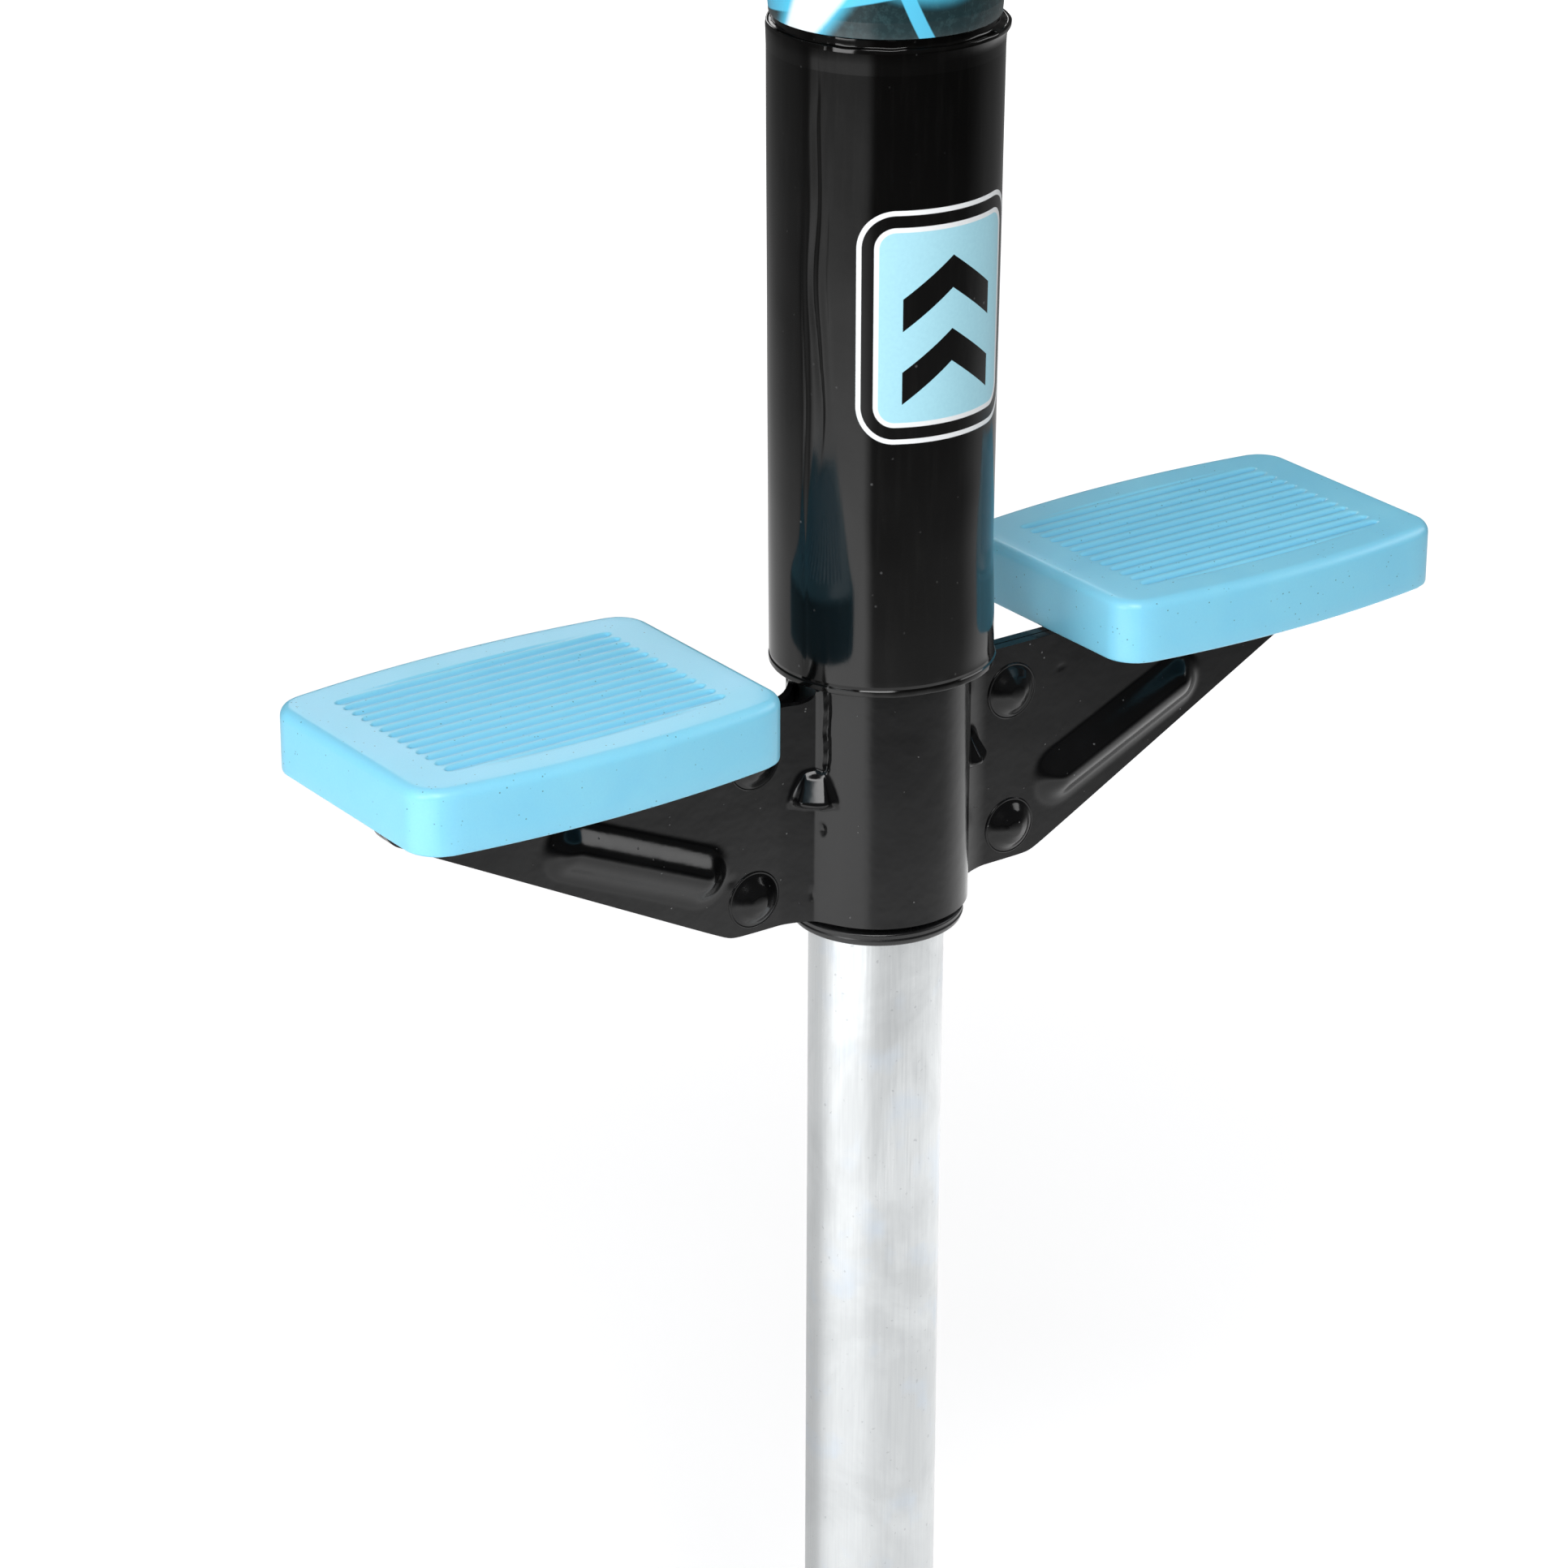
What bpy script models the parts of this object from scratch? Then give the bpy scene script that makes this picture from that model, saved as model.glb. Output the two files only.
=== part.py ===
"""A child's pogo stick: a padded T-handled tube over a sprung shaft, with two foot pedals.

Frame: the origin is on the stick's axis at the ground, +Z runs up the stick and the pedals
and handlebar lie along X. Everything is in metres and is drawn with the spring extended.
"""
import math

import bmesh
import bpy
from mathutils import Matrix, Vector

# ---- driving dimensions -----------------------------------------------------------------
FIT_GAP = 0.0003            # between pieces that touch
RUN_GAP = 0.0002            # radial, between pieces that slide or turn

SHAFT_R = 0.0127            # 1 inch tube
TUBE_R = 0.015875           # 1 1/4 inch tube
TUBE_WALL = 0.0015
BAR_R = 0.0111              # 7/8 inch tube

PEDAL_TOP = 0.300
PEDAL_HEIGHT = 0.0122
PEDAL_HALF_LENGTH = 0.0384
PEDAL_HALF_WIDTH = 0.0288
PEDAL_BOW = 0.0034          # how far the long sides swell outwards
PEDAL_CORNER_R = 0.0048
PEDAL_CENTRE_X = 0.0760
PEDAL_WALL = 0.003
PEDAL_CEILING = 0.0036
PEDAL_ROUND = 0.0024

TIP_HEIGHT = 0.046
TIP_R = 0.0195
TIP_SOLE = 0.014
TIP_WALL = 0.0036           # the rubber round the shaft
TIP_MOUTH_CHAMFER = 0.001
TIP_SKIRT = 0.024           # length of the straight part below the mouth
TIP_EDGE_R = 0.003

TUBE_BOTTOM = 0.2437
TUBE_TOP = 0.9045
BAR_Z = 0.880
BAR_HALF = 0.122
GRIP_START = 0.028
GRIP_R = 0.0165
GRIP_EDGE_R = 0.0025
CAP_OVERHANG = 0.0006
CAP_RIM = 0.0012
CAP_DOME = 0.004
CAP_CLEARANCE = 0.0018      # between the cap's spigot and the handlebar
PLUG_HEAD_R = 0.0128
PLUG_DOME = 0.004
PLUG_SPIGOT = 0.012

SHAFT_BOTTOM = 0.0166
SHAFT_TOP = 0.318
SHAFT_WALL = 0.0015

SLEEVE_BOTTOM = 0.2905
SLEEVE_TOP = 0.4112
SLEEVE_R_BOTTOM = 0.0202
SLEEVE_R_TOP = 0.0210
SLEEVE_SKIN = 0.0006
SLEEVE_LIP = 0.0015
SLEEVE_FLARE = 0.0002
COVER_BOTTOM = 0.4125
COVER_TOP = 0.862
COVER_R = 0.0208
COVER_SKIN = 0.0006
FOAM_INSET = 0.0006         # how far a foam's ends stop short of its cover's

COLLAR_BOTTOM = 0.2431
COLLAR_TOP = 0.298
COLLAR_R = 0.0171
NOTCH_HALF_WIDTH = 0.0055   # where the collar's sides are cut down
NOTCH_RISE = 0.0012         # from the wings' top to the notch
WING_HALF_THICKNESS = 0.0021
WING_TOP = PEDAL_TOP - 0.0132
WING_BOTTOM = PEDAL_TOP - 0.0568
WING_END_X = 0.1080
WING_CORNER_X = 0.0346
WING_END_LOW = PEDAL_TOP - 0.0188
WING_TIP_R = 0.0055
WING_TIP_RISE = 0.0032      # from the wing's lower corner to the middle of its rounded tip
FLANGE_TOP = PEDAL_TOP - 0.0059
FLANGE_THICKNESS = 0.002
FLANGE_HALF_WIDTH = 0.0205
FLANGE_START_X = 0.045
FLANGE_END_X = 0.107

BEAD_R = 0.0054             # half the width of the pressed rib
BEAD_HEIGHT = 0.0029
BEAD_INNER = (0.0412, 0.2577)
BEAD_OUTER = (0.0693, 0.2701)

RIVET_X = 0.0295
RIVET_HEIGHTS = {"lower": PEDAL_TOP - 0.0501, "upper": PEDAL_TOP - 0.0226}
RIVET_SHANK_R = 0.0023
RIVET_HEAD_R = 0.0054
RIVET_HEAD_HEIGHT = 0.0023

SCREW_Y = 0.013
SCREW_SHANK_R = 0.0016
SCREW_HEAD_R = 0.0036
SCREW_HEAD_HEIGHT = 0.0025
SCREW_LENGTH = 0.0056
BOSS_R = 0.004

BUSH_BOTTOM = 0.2390
BUSH_FLANGE = 0.0026
BUSH_FLANGE_R = 0.0164
BUSH_TOP = 0.268
BUSH_CHAMFER = 0.0007
BUMPER_HEIGHT = 0.0105

SPRING_R = 0.011            # to the middle of the wire
WIRE_R = 0.0019
SPRING_TURNS = 13
SPRING_LENGTH = 0.2206
SEAT_THICKNESS = 0.002
SEAT_BORE_R = 0.004
SEAT_CLEARANCE = 0.0006     # radial, inside the main tube
GUIDE_CAP = 0.004           # the guide's thickness over the shaft's end
STOP_PIN_R = 0.003
GUIDE_PIN_R = 0.002
GUIDE_PIN_Z = 0.300

ROUND_STEPS = 32
SMALL_STEPS = 16
SHARP_ANGLE = math.radians(35)

SIDES = {"left": -1, "right": 1}


# ---- scene, materials and helpers -------------------------------------------------------
def clear_scene():
    for item in list(bpy.data.objects):
        bpy.data.objects.remove(item, do_unlink=True)


def new_collection(name):
    group = bpy.data.collections.new(name)
    bpy.context.scene.collection.children.link(group)
    return group


def new_material(name, colour, roughness, metallic=0.0):
    mat = bpy.data.materials.new(name)
    mat.use_nodes = True
    shader = mat.node_tree.nodes["Principled BSDF"]
    shader.inputs["Base Color"].default_value = (*colour, 1.0)
    shader.inputs["Roughness"].default_value = roughness
    shader.inputs["Metallic"].default_value = metallic
    return mat


def add_piece(name, mesh, mat):
    """A finished sub-part in the pogo stick's collection."""
    piece = bpy.data.objects.new(name, mesh)
    parts.objects.link(piece)
    mesh.materials.append(mat)
    return piece


def add_cutter(name, mesh):
    """A guide shape for a Boolean, which isn't a sub-part."""
    cutter = bpy.data.objects.new(name, mesh)
    cutters.objects.link(cutter)
    cutter.hide_render = True
    cutter.display_type = "WIRE"
    return cutter


def boolean(piece, cutter, operation="DIFFERENCE"):
    step = piece.modifiers.new(f"{operation.lower()} {cutter.name}", "BOOLEAN")
    step.operation = operation
    step.solver = "EXACT"
    step.object = cutter


def turned_mesh(name, profile):
    """An open or closed profile of (radius, height) points, as edges in the XZ plane."""
    closed = profile[0][0] > 0 and profile[-1][0] > 0
    mesh = bpy.data.meshes.new(name)
    shape = bmesh.new()
    points = [shape.verts.new((radius, 0, height)) for radius, height in profile]
    for start, end in zip(points, points[1:]):
        shape.edges.new((start, end))
    if closed:
        shape.edges.new((points[-1], points[0]))
    shape.to_mesh(mesh)
    shape.free()
    return mesh


def turn(piece, steps=ROUND_STEPS):
    """Turns the piece's profile about its own Z axis."""
    screw = piece.modifiers.new("turn", "SCREW")
    screw.axis = "Z"
    screw.angle = math.tau
    screw.steps = steps
    screw.render_steps = steps
    screw.use_merge_vertices = True
    screw.merge_threshold = 0.00001
    screw.use_smooth_shade = True
    return piece


def turned_piece(name, profile, mat, steps=ROUND_STEPS):
    return turn(add_piece(name, turned_mesh(name, profile), mat), steps)


def cylinder_mesh(name, radius, length, steps=ROUND_STEPS):
    mesh = bpy.data.meshes.new(name)
    shape = bmesh.new()
    bmesh.ops.create_cone(shape, cap_ends=True, segments=steps, radius1=radius,
                          radius2=radius, depth=length)
    shape.to_mesh(mesh)
    shape.free()
    return mesh


def block_mesh(name, low, high):
    """A box between two corners."""
    low = Vector(low)
    high = Vector(high)
    size = high - low
    mesh = bpy.data.meshes.new(name)
    shape = bmesh.new()
    bmesh.ops.create_cube(shape, size=1)
    bmesh.ops.transform(shape, verts=shape.verts, matrix=Matrix.Diagonal((*size, 1)))
    bmesh.ops.translate(shape, verts=shape.verts, vec=(low + high) / 2)
    shape.to_mesh(mesh)
    shape.free()
    return mesh


def plate_mesh(name, outline, thickness, place):
    """A flat outline given thickness about its own plane, then set in place."""
    curve = bpy.data.curves.new(name, "CURVE")
    curve.dimensions = "2D"
    curve.fill_mode = "BOTH"
    curve.extrude = thickness / 2
    spline = curve.splines.new("POLY")
    spline.points.add(len(outline) - 1)
    for point, (x, y) in zip(spline.points, outline):
        point.co = (x, y, 0, 1)
    spline.use_cyclic_u = True
    source = bpy.data.objects.new(name, curve)
    cutters.objects.link(source)
    bpy.context.view_layer.update()
    evaluated = source.evaluated_get(bpy.context.evaluated_depsgraph_get())
    mesh = bpy.data.meshes.new_from_object(evaluated)
    bpy.data.objects.remove(source)
    shape = bmesh.new()
    shape.from_mesh(mesh)
    bmesh.ops.remove_doubles(shape, verts=shape.verts, dist=0.000001)
    bmesh.ops.transform(shape, verts=shape.verts, matrix=place)
    bmesh.ops.recalc_face_normals(shape, faces=shape.faces)
    shape.to_mesh(mesh)
    shape.free()
    return mesh


def arc(centre_x, centre_y, radius, start, end, steps):
    """Points on an arc between two angles in degrees, both ends included."""
    points = []
    for step in range(steps + 1):
        angle = math.radians(start + (end - start) * step / steps)
        points.append((centre_x + radius * math.cos(angle), centre_y + radius * math.sin(angle)))
    return points


def smooth(mesh):
    mesh.shade_smooth()
    mesh.set_sharp_from_angle(angle=SHARP_ANGLE)


STANDING = Matrix.Rotation(math.pi / 2, 4, "X")      # a plate's own XY plane becomes XZ


# ---- handlebar and main tube ------------------------------------------------------------
def ring(outer, inner, bottom, top):
    """A square-edged ring's profile."""
    return [(outer, top), (outer, bottom), (inner, bottom), (inner, top)]


def make_main_tube():
    tube = turned_piece("main_tube", ring(TUBE_R, TUBE_R - TUBE_WALL, TUBE_BOTTOM, TUBE_TOP), zinc)
    bar_hole = add_cutter("bar_hole", cylinder_mesh("bar_hole", BAR_R + FIT_GAP, 4 * TUBE_R))
    bar_hole.location = (0, 0, BAR_Z)
    bar_hole.rotation_euler = (0, math.pi / 2, 0)
    boolean(tube, bar_hole)
    pin_hole = add_cutter("stop_pin_hole",
                          cylinder_mesh("stop_pin_hole", STOP_PIN_R + FIT_GAP, 4 * TUBE_R, SMALL_STEPS))
    pin_hole.location = (0, 0, stop_pin_z)
    pin_hole.rotation_euler = (math.pi / 2, 0, 0)
    boolean(tube, pin_hole)


def make_top_cap():
    """A plastic plug that closes the main tube above the handlebar."""
    head_r = TUBE_R + CAP_OVERHANG
    spigot_r = TUBE_R - TUBE_WALL - FIT_GAP
    head_bottom = TUBE_TOP + FIT_GAP
    spigot_bottom = BAR_Z + BAR_R + CAP_CLEARANCE
    dome = [(0, head_bottom + CAP_RIM + CAP_DOME)]
    dome += [(head_r * math.sin(math.radians(angle)),
              head_bottom + CAP_RIM + CAP_DOME * math.cos(math.radians(angle))) for angle in (30, 55, 75, 90)]
    profile = dome + [(head_r, head_bottom), (spigot_r, head_bottom), (spigot_r, spigot_bottom),
                      (0, spigot_bottom)]
    turned_piece("top_cap", profile, black_plastic)


def make_handlebar():
    bar = turned_piece("handlebar", ring(BAR_R, BAR_R - TUBE_WALL, -BAR_HALF, BAR_HALF), zinc)
    bar.location = (0, 0, BAR_Z)
    bar.rotation_euler = (0, math.pi / 2, 0)


def make_grip(side):
    """A foam sleeve on one end of the handlebar, with softly rounded ends."""
    inner = BAR_R + FIT_GAP
    outer = GRIP_R
    end = BAR_HALF - FIT_GAP
    edge = GRIP_EDGE_R
    profile = arc(outer - edge, end - edge, edge, 90, 0, 3)
    profile += arc(outer - edge, GRIP_START + edge, edge, 0, -90, 3)
    profile += [(inner, GRIP_START), (inner, end)]
    grip = turned_piece(f"grip_{side}", profile, foam_black)
    grip.location = (0, 0, BAR_Z)
    grip.rotation_euler = (0, SIDES[side] * math.pi / 2, 0)


def make_end_plug(side):
    """A plastic plug in one open end of the handlebar."""
    spigot_r = BAR_R - TUBE_WALL - FIT_GAP
    face = BAR_HALF + FIT_GAP
    dome = [(PLUG_HEAD_R * reach, face + PLUG_DOME * rise)
            for reach, rise in ((0, 1), (0.55, 0.9), (0.88, 0.55), (1, 0.2))]
    profile = dome + [(PLUG_HEAD_R, face), (spigot_r, face), (spigot_r, face - PLUG_SPIGOT),
                      (0, face - PLUG_SPIGOT)]
    plug = turned_piece(f"end_plug_{side}", profile, black_plastic, SMALL_STEPS)
    plug.location = (0, 0, BAR_Z)
    plug.rotation_euler = (0, SIDES[side] * math.pi / 2, 0)


# ---- padding round the main tube --------------------------------------------------------
def make_padding():
    foam_inner = TUBE_R + FIT_GAP
    cover_inner = COVER_R - COVER_SKIN
    turned_piece("upper_foam", ring(cover_inner - FIT_GAP, foam_inner, COVER_BOTTOM + FOAM_INSET,
                                    COVER_TOP - FOAM_INSET), foam_grey)
    turned_piece("printed_cover", ring(COVER_R, cover_inner, COVER_BOTTOM, COVER_TOP), printed_vinyl)
    sleeve_inner = SLEEVE_R_BOTTOM - SLEEVE_SKIN
    turned_piece("lower_foam", ring(sleeve_inner - FIT_GAP, foam_inner, COLLAR_TOP + FIT_GAP,
                                    SLEEVE_TOP - 2 * FOAM_INSET), foam_grey)
    rim_r = SLEEVE_R_TOP + SLEEVE_FLARE
    profile = [(rim_r, SLEEVE_TOP), (rim_r, SLEEVE_TOP - SLEEVE_LIP),
               (SLEEVE_R_TOP, SLEEVE_TOP - 2 * SLEEVE_LIP), (SLEEVE_R_BOTTOM, SLEEVE_BOTTOM),
               (sleeve_inner, SLEEVE_BOTTOM), (sleeve_inner, SLEEVE_TOP)]
    turned_piece("lower_sleeve", profile, black_vinyl)


# ---- foot bracket -----------------------------------------------------------------------
def wing_outline():
    """Front view of the bracket, counter-clockwise: both wings with the collar's width between."""
    tab_x = FLANGE_START_X - 0.001
    right = [(0, WING_BOTTOM), (WING_CORNER_X - 0.0015, WING_BOTTOM)]
    right += [(WING_CORNER_X + 0.0012, WING_BOTTOM + 0.0006)]
    slope = math.atan2(WING_END_LOW - WING_BOTTOM - 0.002, WING_END_X - WING_CORNER_X)
    right += arc(WING_END_X - WING_TIP_R, WING_END_LOW + WING_TIP_RISE, WING_TIP_R,
                 math.degrees(slope) - 90, 0, 5)
    right += [(WING_END_X, FLANGE_TOP), (tab_x, FLANGE_TOP), (tab_x, WING_TOP), (0, WING_TOP)]
    left = [(-x, z) for x, z in reversed(right[1:-1])]
    return right + left


def bead_mesh(name):
    """A stretched ball that stands out of a wing as a rib with round ends."""
    (inner_x, inner_z), (outer_x, outer_z) = BEAD_INNER, BEAD_OUTER
    run = math.hypot(outer_x - inner_x, outer_z - inner_z)
    slope = math.atan2(outer_z - inner_z, outer_x - inner_x)
    mesh = bpy.data.meshes.new(name)
    shape = bmesh.new()
    bmesh.ops.create_uvsphere(shape, u_segments=16, v_segments=8, radius=BEAD_R,
                              matrix=Matrix.Rotation(math.pi / 2, 4, "X"))
    for vert in shape.verts:
        if vert.co.x > 0.000001:
            vert.co.x += run
    height = BEAD_HEIGHT + WING_HALF_THICKNESS
    bmesh.ops.transform(shape, verts=shape.verts,
                        matrix=Matrix.Translation((inner_x, 0, inner_z)) @ Matrix.Rotation(-slope, 4, "Y")
                        @ Matrix.Diagonal((1, height / BEAD_R, 1, 1)))
    shape.to_mesh(mesh)
    shape.free()
    return mesh


def make_bracket_guides():
    """The shapes that the two pressed halves have in common."""
    wing = add_cutter("wing_plate",
                      plate_mesh("wing_plate", wing_outline(), 2 * WING_HALF_THICKNESS, STANDING))
    joined = [wing]
    for side, sign in SIDES.items():
        low_x = min(sign * FLANGE_START_X, sign * FLANGE_END_X)
        high_x = max(sign * FLANGE_START_X, sign * FLANGE_END_X)
        flange = block_mesh(f"flange_{side}", (low_x, -FLANGE_HALF_WIDTH, FLANGE_TOP - FLANGE_THICKNESS),
                            (high_x, FLANGE_HALF_WIDTH, FLANGE_TOP))
        joined.append(add_cutter(f"flange_{side}", flange))
        bead = add_cutter(f"bead_{side}", bead_mesh(f"bead_{side}"))
        bead.rotation_euler = (0, 0, 0 if sign > 0 else math.pi)
        joined.append(bead)
    bore = add_cutter("collar_bore", cylinder_mesh("collar_bore", TUBE_R + RUN_GAP, 0.2))
    bore.location = (0, 0, (COLLAR_BOTTOM + COLLAR_TOP) / 2)
    notch = add_cutter("collar_notch", block_mesh("collar_notch",
                                                  (-2 * COLLAR_R, -NOTCH_HALF_WIDTH, WING_TOP + NOTCH_RISE),
                                                  (2 * COLLAR_R, NOTCH_HALF_WIDTH, 2 * COLLAR_TOP)))
    removed = [bore, notch]
    for side, sign in SIDES.items():
        for level, height in RIVET_HEIGHTS.items():
            hole = add_cutter(f"rivet_hole_{side}_{level}",
                              cylinder_mesh("rivet_hole", RIVET_SHANK_R + FIT_GAP, 0.02, SMALL_STEPS))
            hole.location = (sign * RIVET_X, 0, height)
            hole.rotation_euler = (math.pi / 2, 0, 0)
            removed.append(hole)
        for place in (-SCREW_Y, SCREW_Y):
            hole = add_cutter(f"screw_hole_{side}",
                              cylinder_mesh("screw_hole", SCREW_SHANK_R + FIT_GAP, 0.008, SMALL_STEPS))
            hole.location = (sign * PEDAL_CENTRE_X, place, FLANGE_TOP - FLANGE_THICKNESS / 2)
            removed.append(hole)
    return joined, removed


def make_bracket_half(name, sign, joined, removed):
    """One pressed half: half the collar, both wings' plates and the flanges under the pedals."""
    collar = cylinder_mesh(name, COLLAR_R, COLLAR_TOP - COLLAR_BOTTOM)
    collar.transform(Matrix.Translation((0, 0, (COLLAR_BOTTOM + COLLAR_TOP) / 2)))
    half = add_piece(name, collar, black_dip)
    for guide in joined:
        boolean(half, guide, "UNION")
    for guide in removed:
        boolean(half, guide)
    reach = 0.2
    low = (-reach, -FIT_GAP / 2, 0.2) if sign < 0 else (-reach, -reach, 0.2)
    high = (reach, reach, 0.4) if sign < 0 else (reach, FIT_GAP / 2, 0.4)
    boolean(half, add_cutter(f"{name}_other_side", block_mesh(f"{name}_other_side", low, high)))


def make_rivet(side, level):
    """A rivet through both halves of a wing, with a domed head on each face."""
    seat = WING_HALF_THICKNESS + FIT_GAP
    dome = [(RIVET_HEAD_R * math.sin(math.radians(angle)),
             seat + RIVET_HEAD_HEIGHT * math.cos(math.radians(angle))) for angle in (0, 30, 55, 75, 90)]
    upper = dome + [(RIVET_SHANK_R, seat)]
    lower = [(radius, -height) for radius, height in reversed(upper)]
    rivet = turned_piece(f"rivet_{side}_{level}", upper + lower, black_dip, SMALL_STEPS)
    rivet.location = (SIDES[side] * RIVET_X, 0, RIVET_HEIGHTS[level])
    rivet.rotation_euler = (math.pi / 2, 0, 0)


# ---- pedals -----------------------------------------------------------------------------
def pedal_outline(inset):
    """Top view of a pedal, counter-clockwise: swelling long sides and rounded corners."""
    half_length = PEDAL_HALF_LENGTH - inset
    corner_y = PEDAL_HALF_WIDTH - PEDAL_BOW - inset
    corner_r = max(PEDAL_CORNER_R - inset, 0.002)
    side_steps = 10
    points = []
    for sign in (-1, 1):
        for step in range(side_steps + 1):
            along = -1 + 2 * step / side_steps
            x = -sign * along * (half_length - corner_r)
            points.append((x, sign * (corner_y + PEDAL_BOW * (1 - along * along))))
        centre_x = -sign * (half_length - corner_r)
        turn_start = 80 if sign > 0 else -100
        turned = arc(centre_x, sign * (corner_y - corner_r), corner_r, turn_start + 25, turn_start + 95, 4)
        opposite = [(x, -y) for x, y in reversed(turned)]
        points += turned + opposite
    return points


def make_pedal(side):
    """A moulded plastic cap, open below, that sits on the bracket's flanges."""
    name = f"pedal_{side}"
    middle = Matrix.Translation((SIDES[side] * PEDAL_CENTRE_X, 0, PEDAL_TOP - PEDAL_HEIGHT / 2))
    mesh = plate_mesh(name, pedal_outline(0), PEDAL_HEIGHT, middle)
    pedal = add_piece(name, mesh, blue_plastic)
    smooth(mesh)
    rounding = pedal.modifiers.new("rounded edges", "BEVEL")
    rounding.width = PEDAL_ROUND
    rounding.segments = 2
    rounding.limit_method = "WEIGHT"
    weights = mesh.attributes.new("bevel_weight_edge", "FLOAT", "EDGE")
    for edge in mesh.edges:
        level = min(mesh.vertices[index].co.z for index in edge.vertices)
        weights.data[edge.index].value = 1.0 if level > PEDAL_TOP - 0.0001 else 0.0
    hollow_bottom = PEDAL_TOP - PEDAL_HEIGHT - 0.005
    hollow_top = PEDAL_TOP - PEDAL_CEILING
    hollow_place = Matrix.Translation((SIDES[side] * PEDAL_CENTRE_X, 0, (hollow_bottom + hollow_top) / 2))
    hollow = add_cutter(f"hollow_{side}", plate_mesh(f"hollow_{side}", pedal_outline(PEDAL_WALL),
                                                     hollow_top - hollow_bottom, hollow_place))
    boolean(pedal, hollow)
    boss_bottom = FLANGE_TOP + FIT_GAP
    boss_top = hollow_top + 0.001
    for place in (-SCREW_Y, SCREW_Y):
        boss = add_cutter(f"boss_{side}", cylinder_mesh("boss", BOSS_R, boss_top - boss_bottom, SMALL_STEPS))
        boss.location = (SIDES[side] * PEDAL_CENTRE_X, place, (boss_top + boss_bottom) / 2)
        boolean(pedal, boss, "UNION")
        hole = add_cutter(f"boss_hole_{side}",
                          cylinder_mesh("boss_hole", SCREW_SHANK_R + FIT_GAP, 0.006, SMALL_STEPS))
        hole.location = (SIDES[side] * PEDAL_CENTRE_X, place, boss_bottom + 0.0010)
        boolean(pedal, hole)


def make_pedal_screw(side, place):
    """A pan-head screw up through a flange into the pedal's boss."""
    head_top = FLANGE_TOP - FLANGE_THICKNESS - FIT_GAP
    head = [(SCREW_HEAD_R * reach, head_top - SCREW_HEAD_HEIGHT * drop)
            for reach, drop in ((1, 0), (1, 0.45), (0.72, 0.88), (0, 1))]
    profile = [(0, head_top + SCREW_LENGTH), (SCREW_SHANK_R, head_top + SCREW_LENGTH - SCREW_SHANK_R / 2),
               (SCREW_SHANK_R, head_top)] + head
    screw = turned_piece(f"pedal_screw_{side}_{place}", profile, zinc, SMALL_STEPS)
    sign = -1 if place == "front" else 1
    screw.location = (SIDES[side] * PEDAL_CENTRE_X, sign * SCREW_Y, 0)


# ---- shaft, spring and stops ------------------------------------------------------------
def make_bush():
    """The flanged plastic bearing in the lower end of the main tube, and the rubber ring on it."""
    inner = SHAFT_R + RUN_GAP
    barrel = TUBE_R - TUBE_WALL - FIT_GAP
    flange_top = BUSH_BOTTOM + BUSH_FLANGE
    profile = [(barrel, BUSH_TOP), (barrel, flange_top), (BUSH_FLANGE_R, flange_top),
               (BUSH_FLANGE_R, BUSH_BOTTOM + BUSH_CHAMFER), (BUSH_FLANGE_R - BUSH_CHAMFER, BUSH_BOTTOM),
               (inner, BUSH_BOTTOM), (inner, BUSH_TOP)]
    turned_piece("lower_bush", profile, black_plastic)
    bumper_bottom = BUSH_TOP + FIT_GAP
    bumper_top = bumper_bottom + BUMPER_HEIGHT
    turned_piece("rebound_bumper", ring(barrel - FIT_GAP, inner, bumper_bottom, bumper_top), rubber)


def make_shaft():
    shaft = turned_piece("shaft", ring(SHAFT_R, SHAFT_R - SHAFT_WALL, SHAFT_BOTTOM, SHAFT_TOP), zinc)
    pin_hole = add_cutter("guide_pin_hole",
                          cylinder_mesh("guide_pin_hole", GUIDE_PIN_R + FIT_GAP, 4 * SHAFT_R, SMALL_STEPS))
    pin_hole.location = (0, 0, GUIDE_PIN_Z)
    pin_hole.rotation_euler = (math.pi / 2, 0, 0)
    boolean(shaft, pin_hole)
    outer = TUBE_R - TUBE_WALL - RUN_GAP
    inner = SHAFT_R + FIT_GAP
    bottom = BUSH_TOP + BUMPER_HEIGHT + 2 * FIT_GAP
    cap_bottom = SHAFT_TOP + FIT_GAP
    profile = [(outer, guide_top), (outer, bottom), (inner, bottom), (inner, cap_bottom),
               (SEAT_BORE_R, cap_bottom), (SEAT_BORE_R, guide_top)]
    guide = turned_piece("shaft_guide", profile, white_nylon)
    boolean(guide, pin_hole)
    pin = add_piece("guide_pin",
                    cylinder_mesh("guide_pin", GUIDE_PIN_R, 2 * (outer - FIT_GAP), SMALL_STEPS), zinc)
    pin.location = (0, 0, GUIDE_PIN_Z)
    pin.rotation_euler = (math.pi / 2, 0, 0)
    smooth(pin.data)


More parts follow.
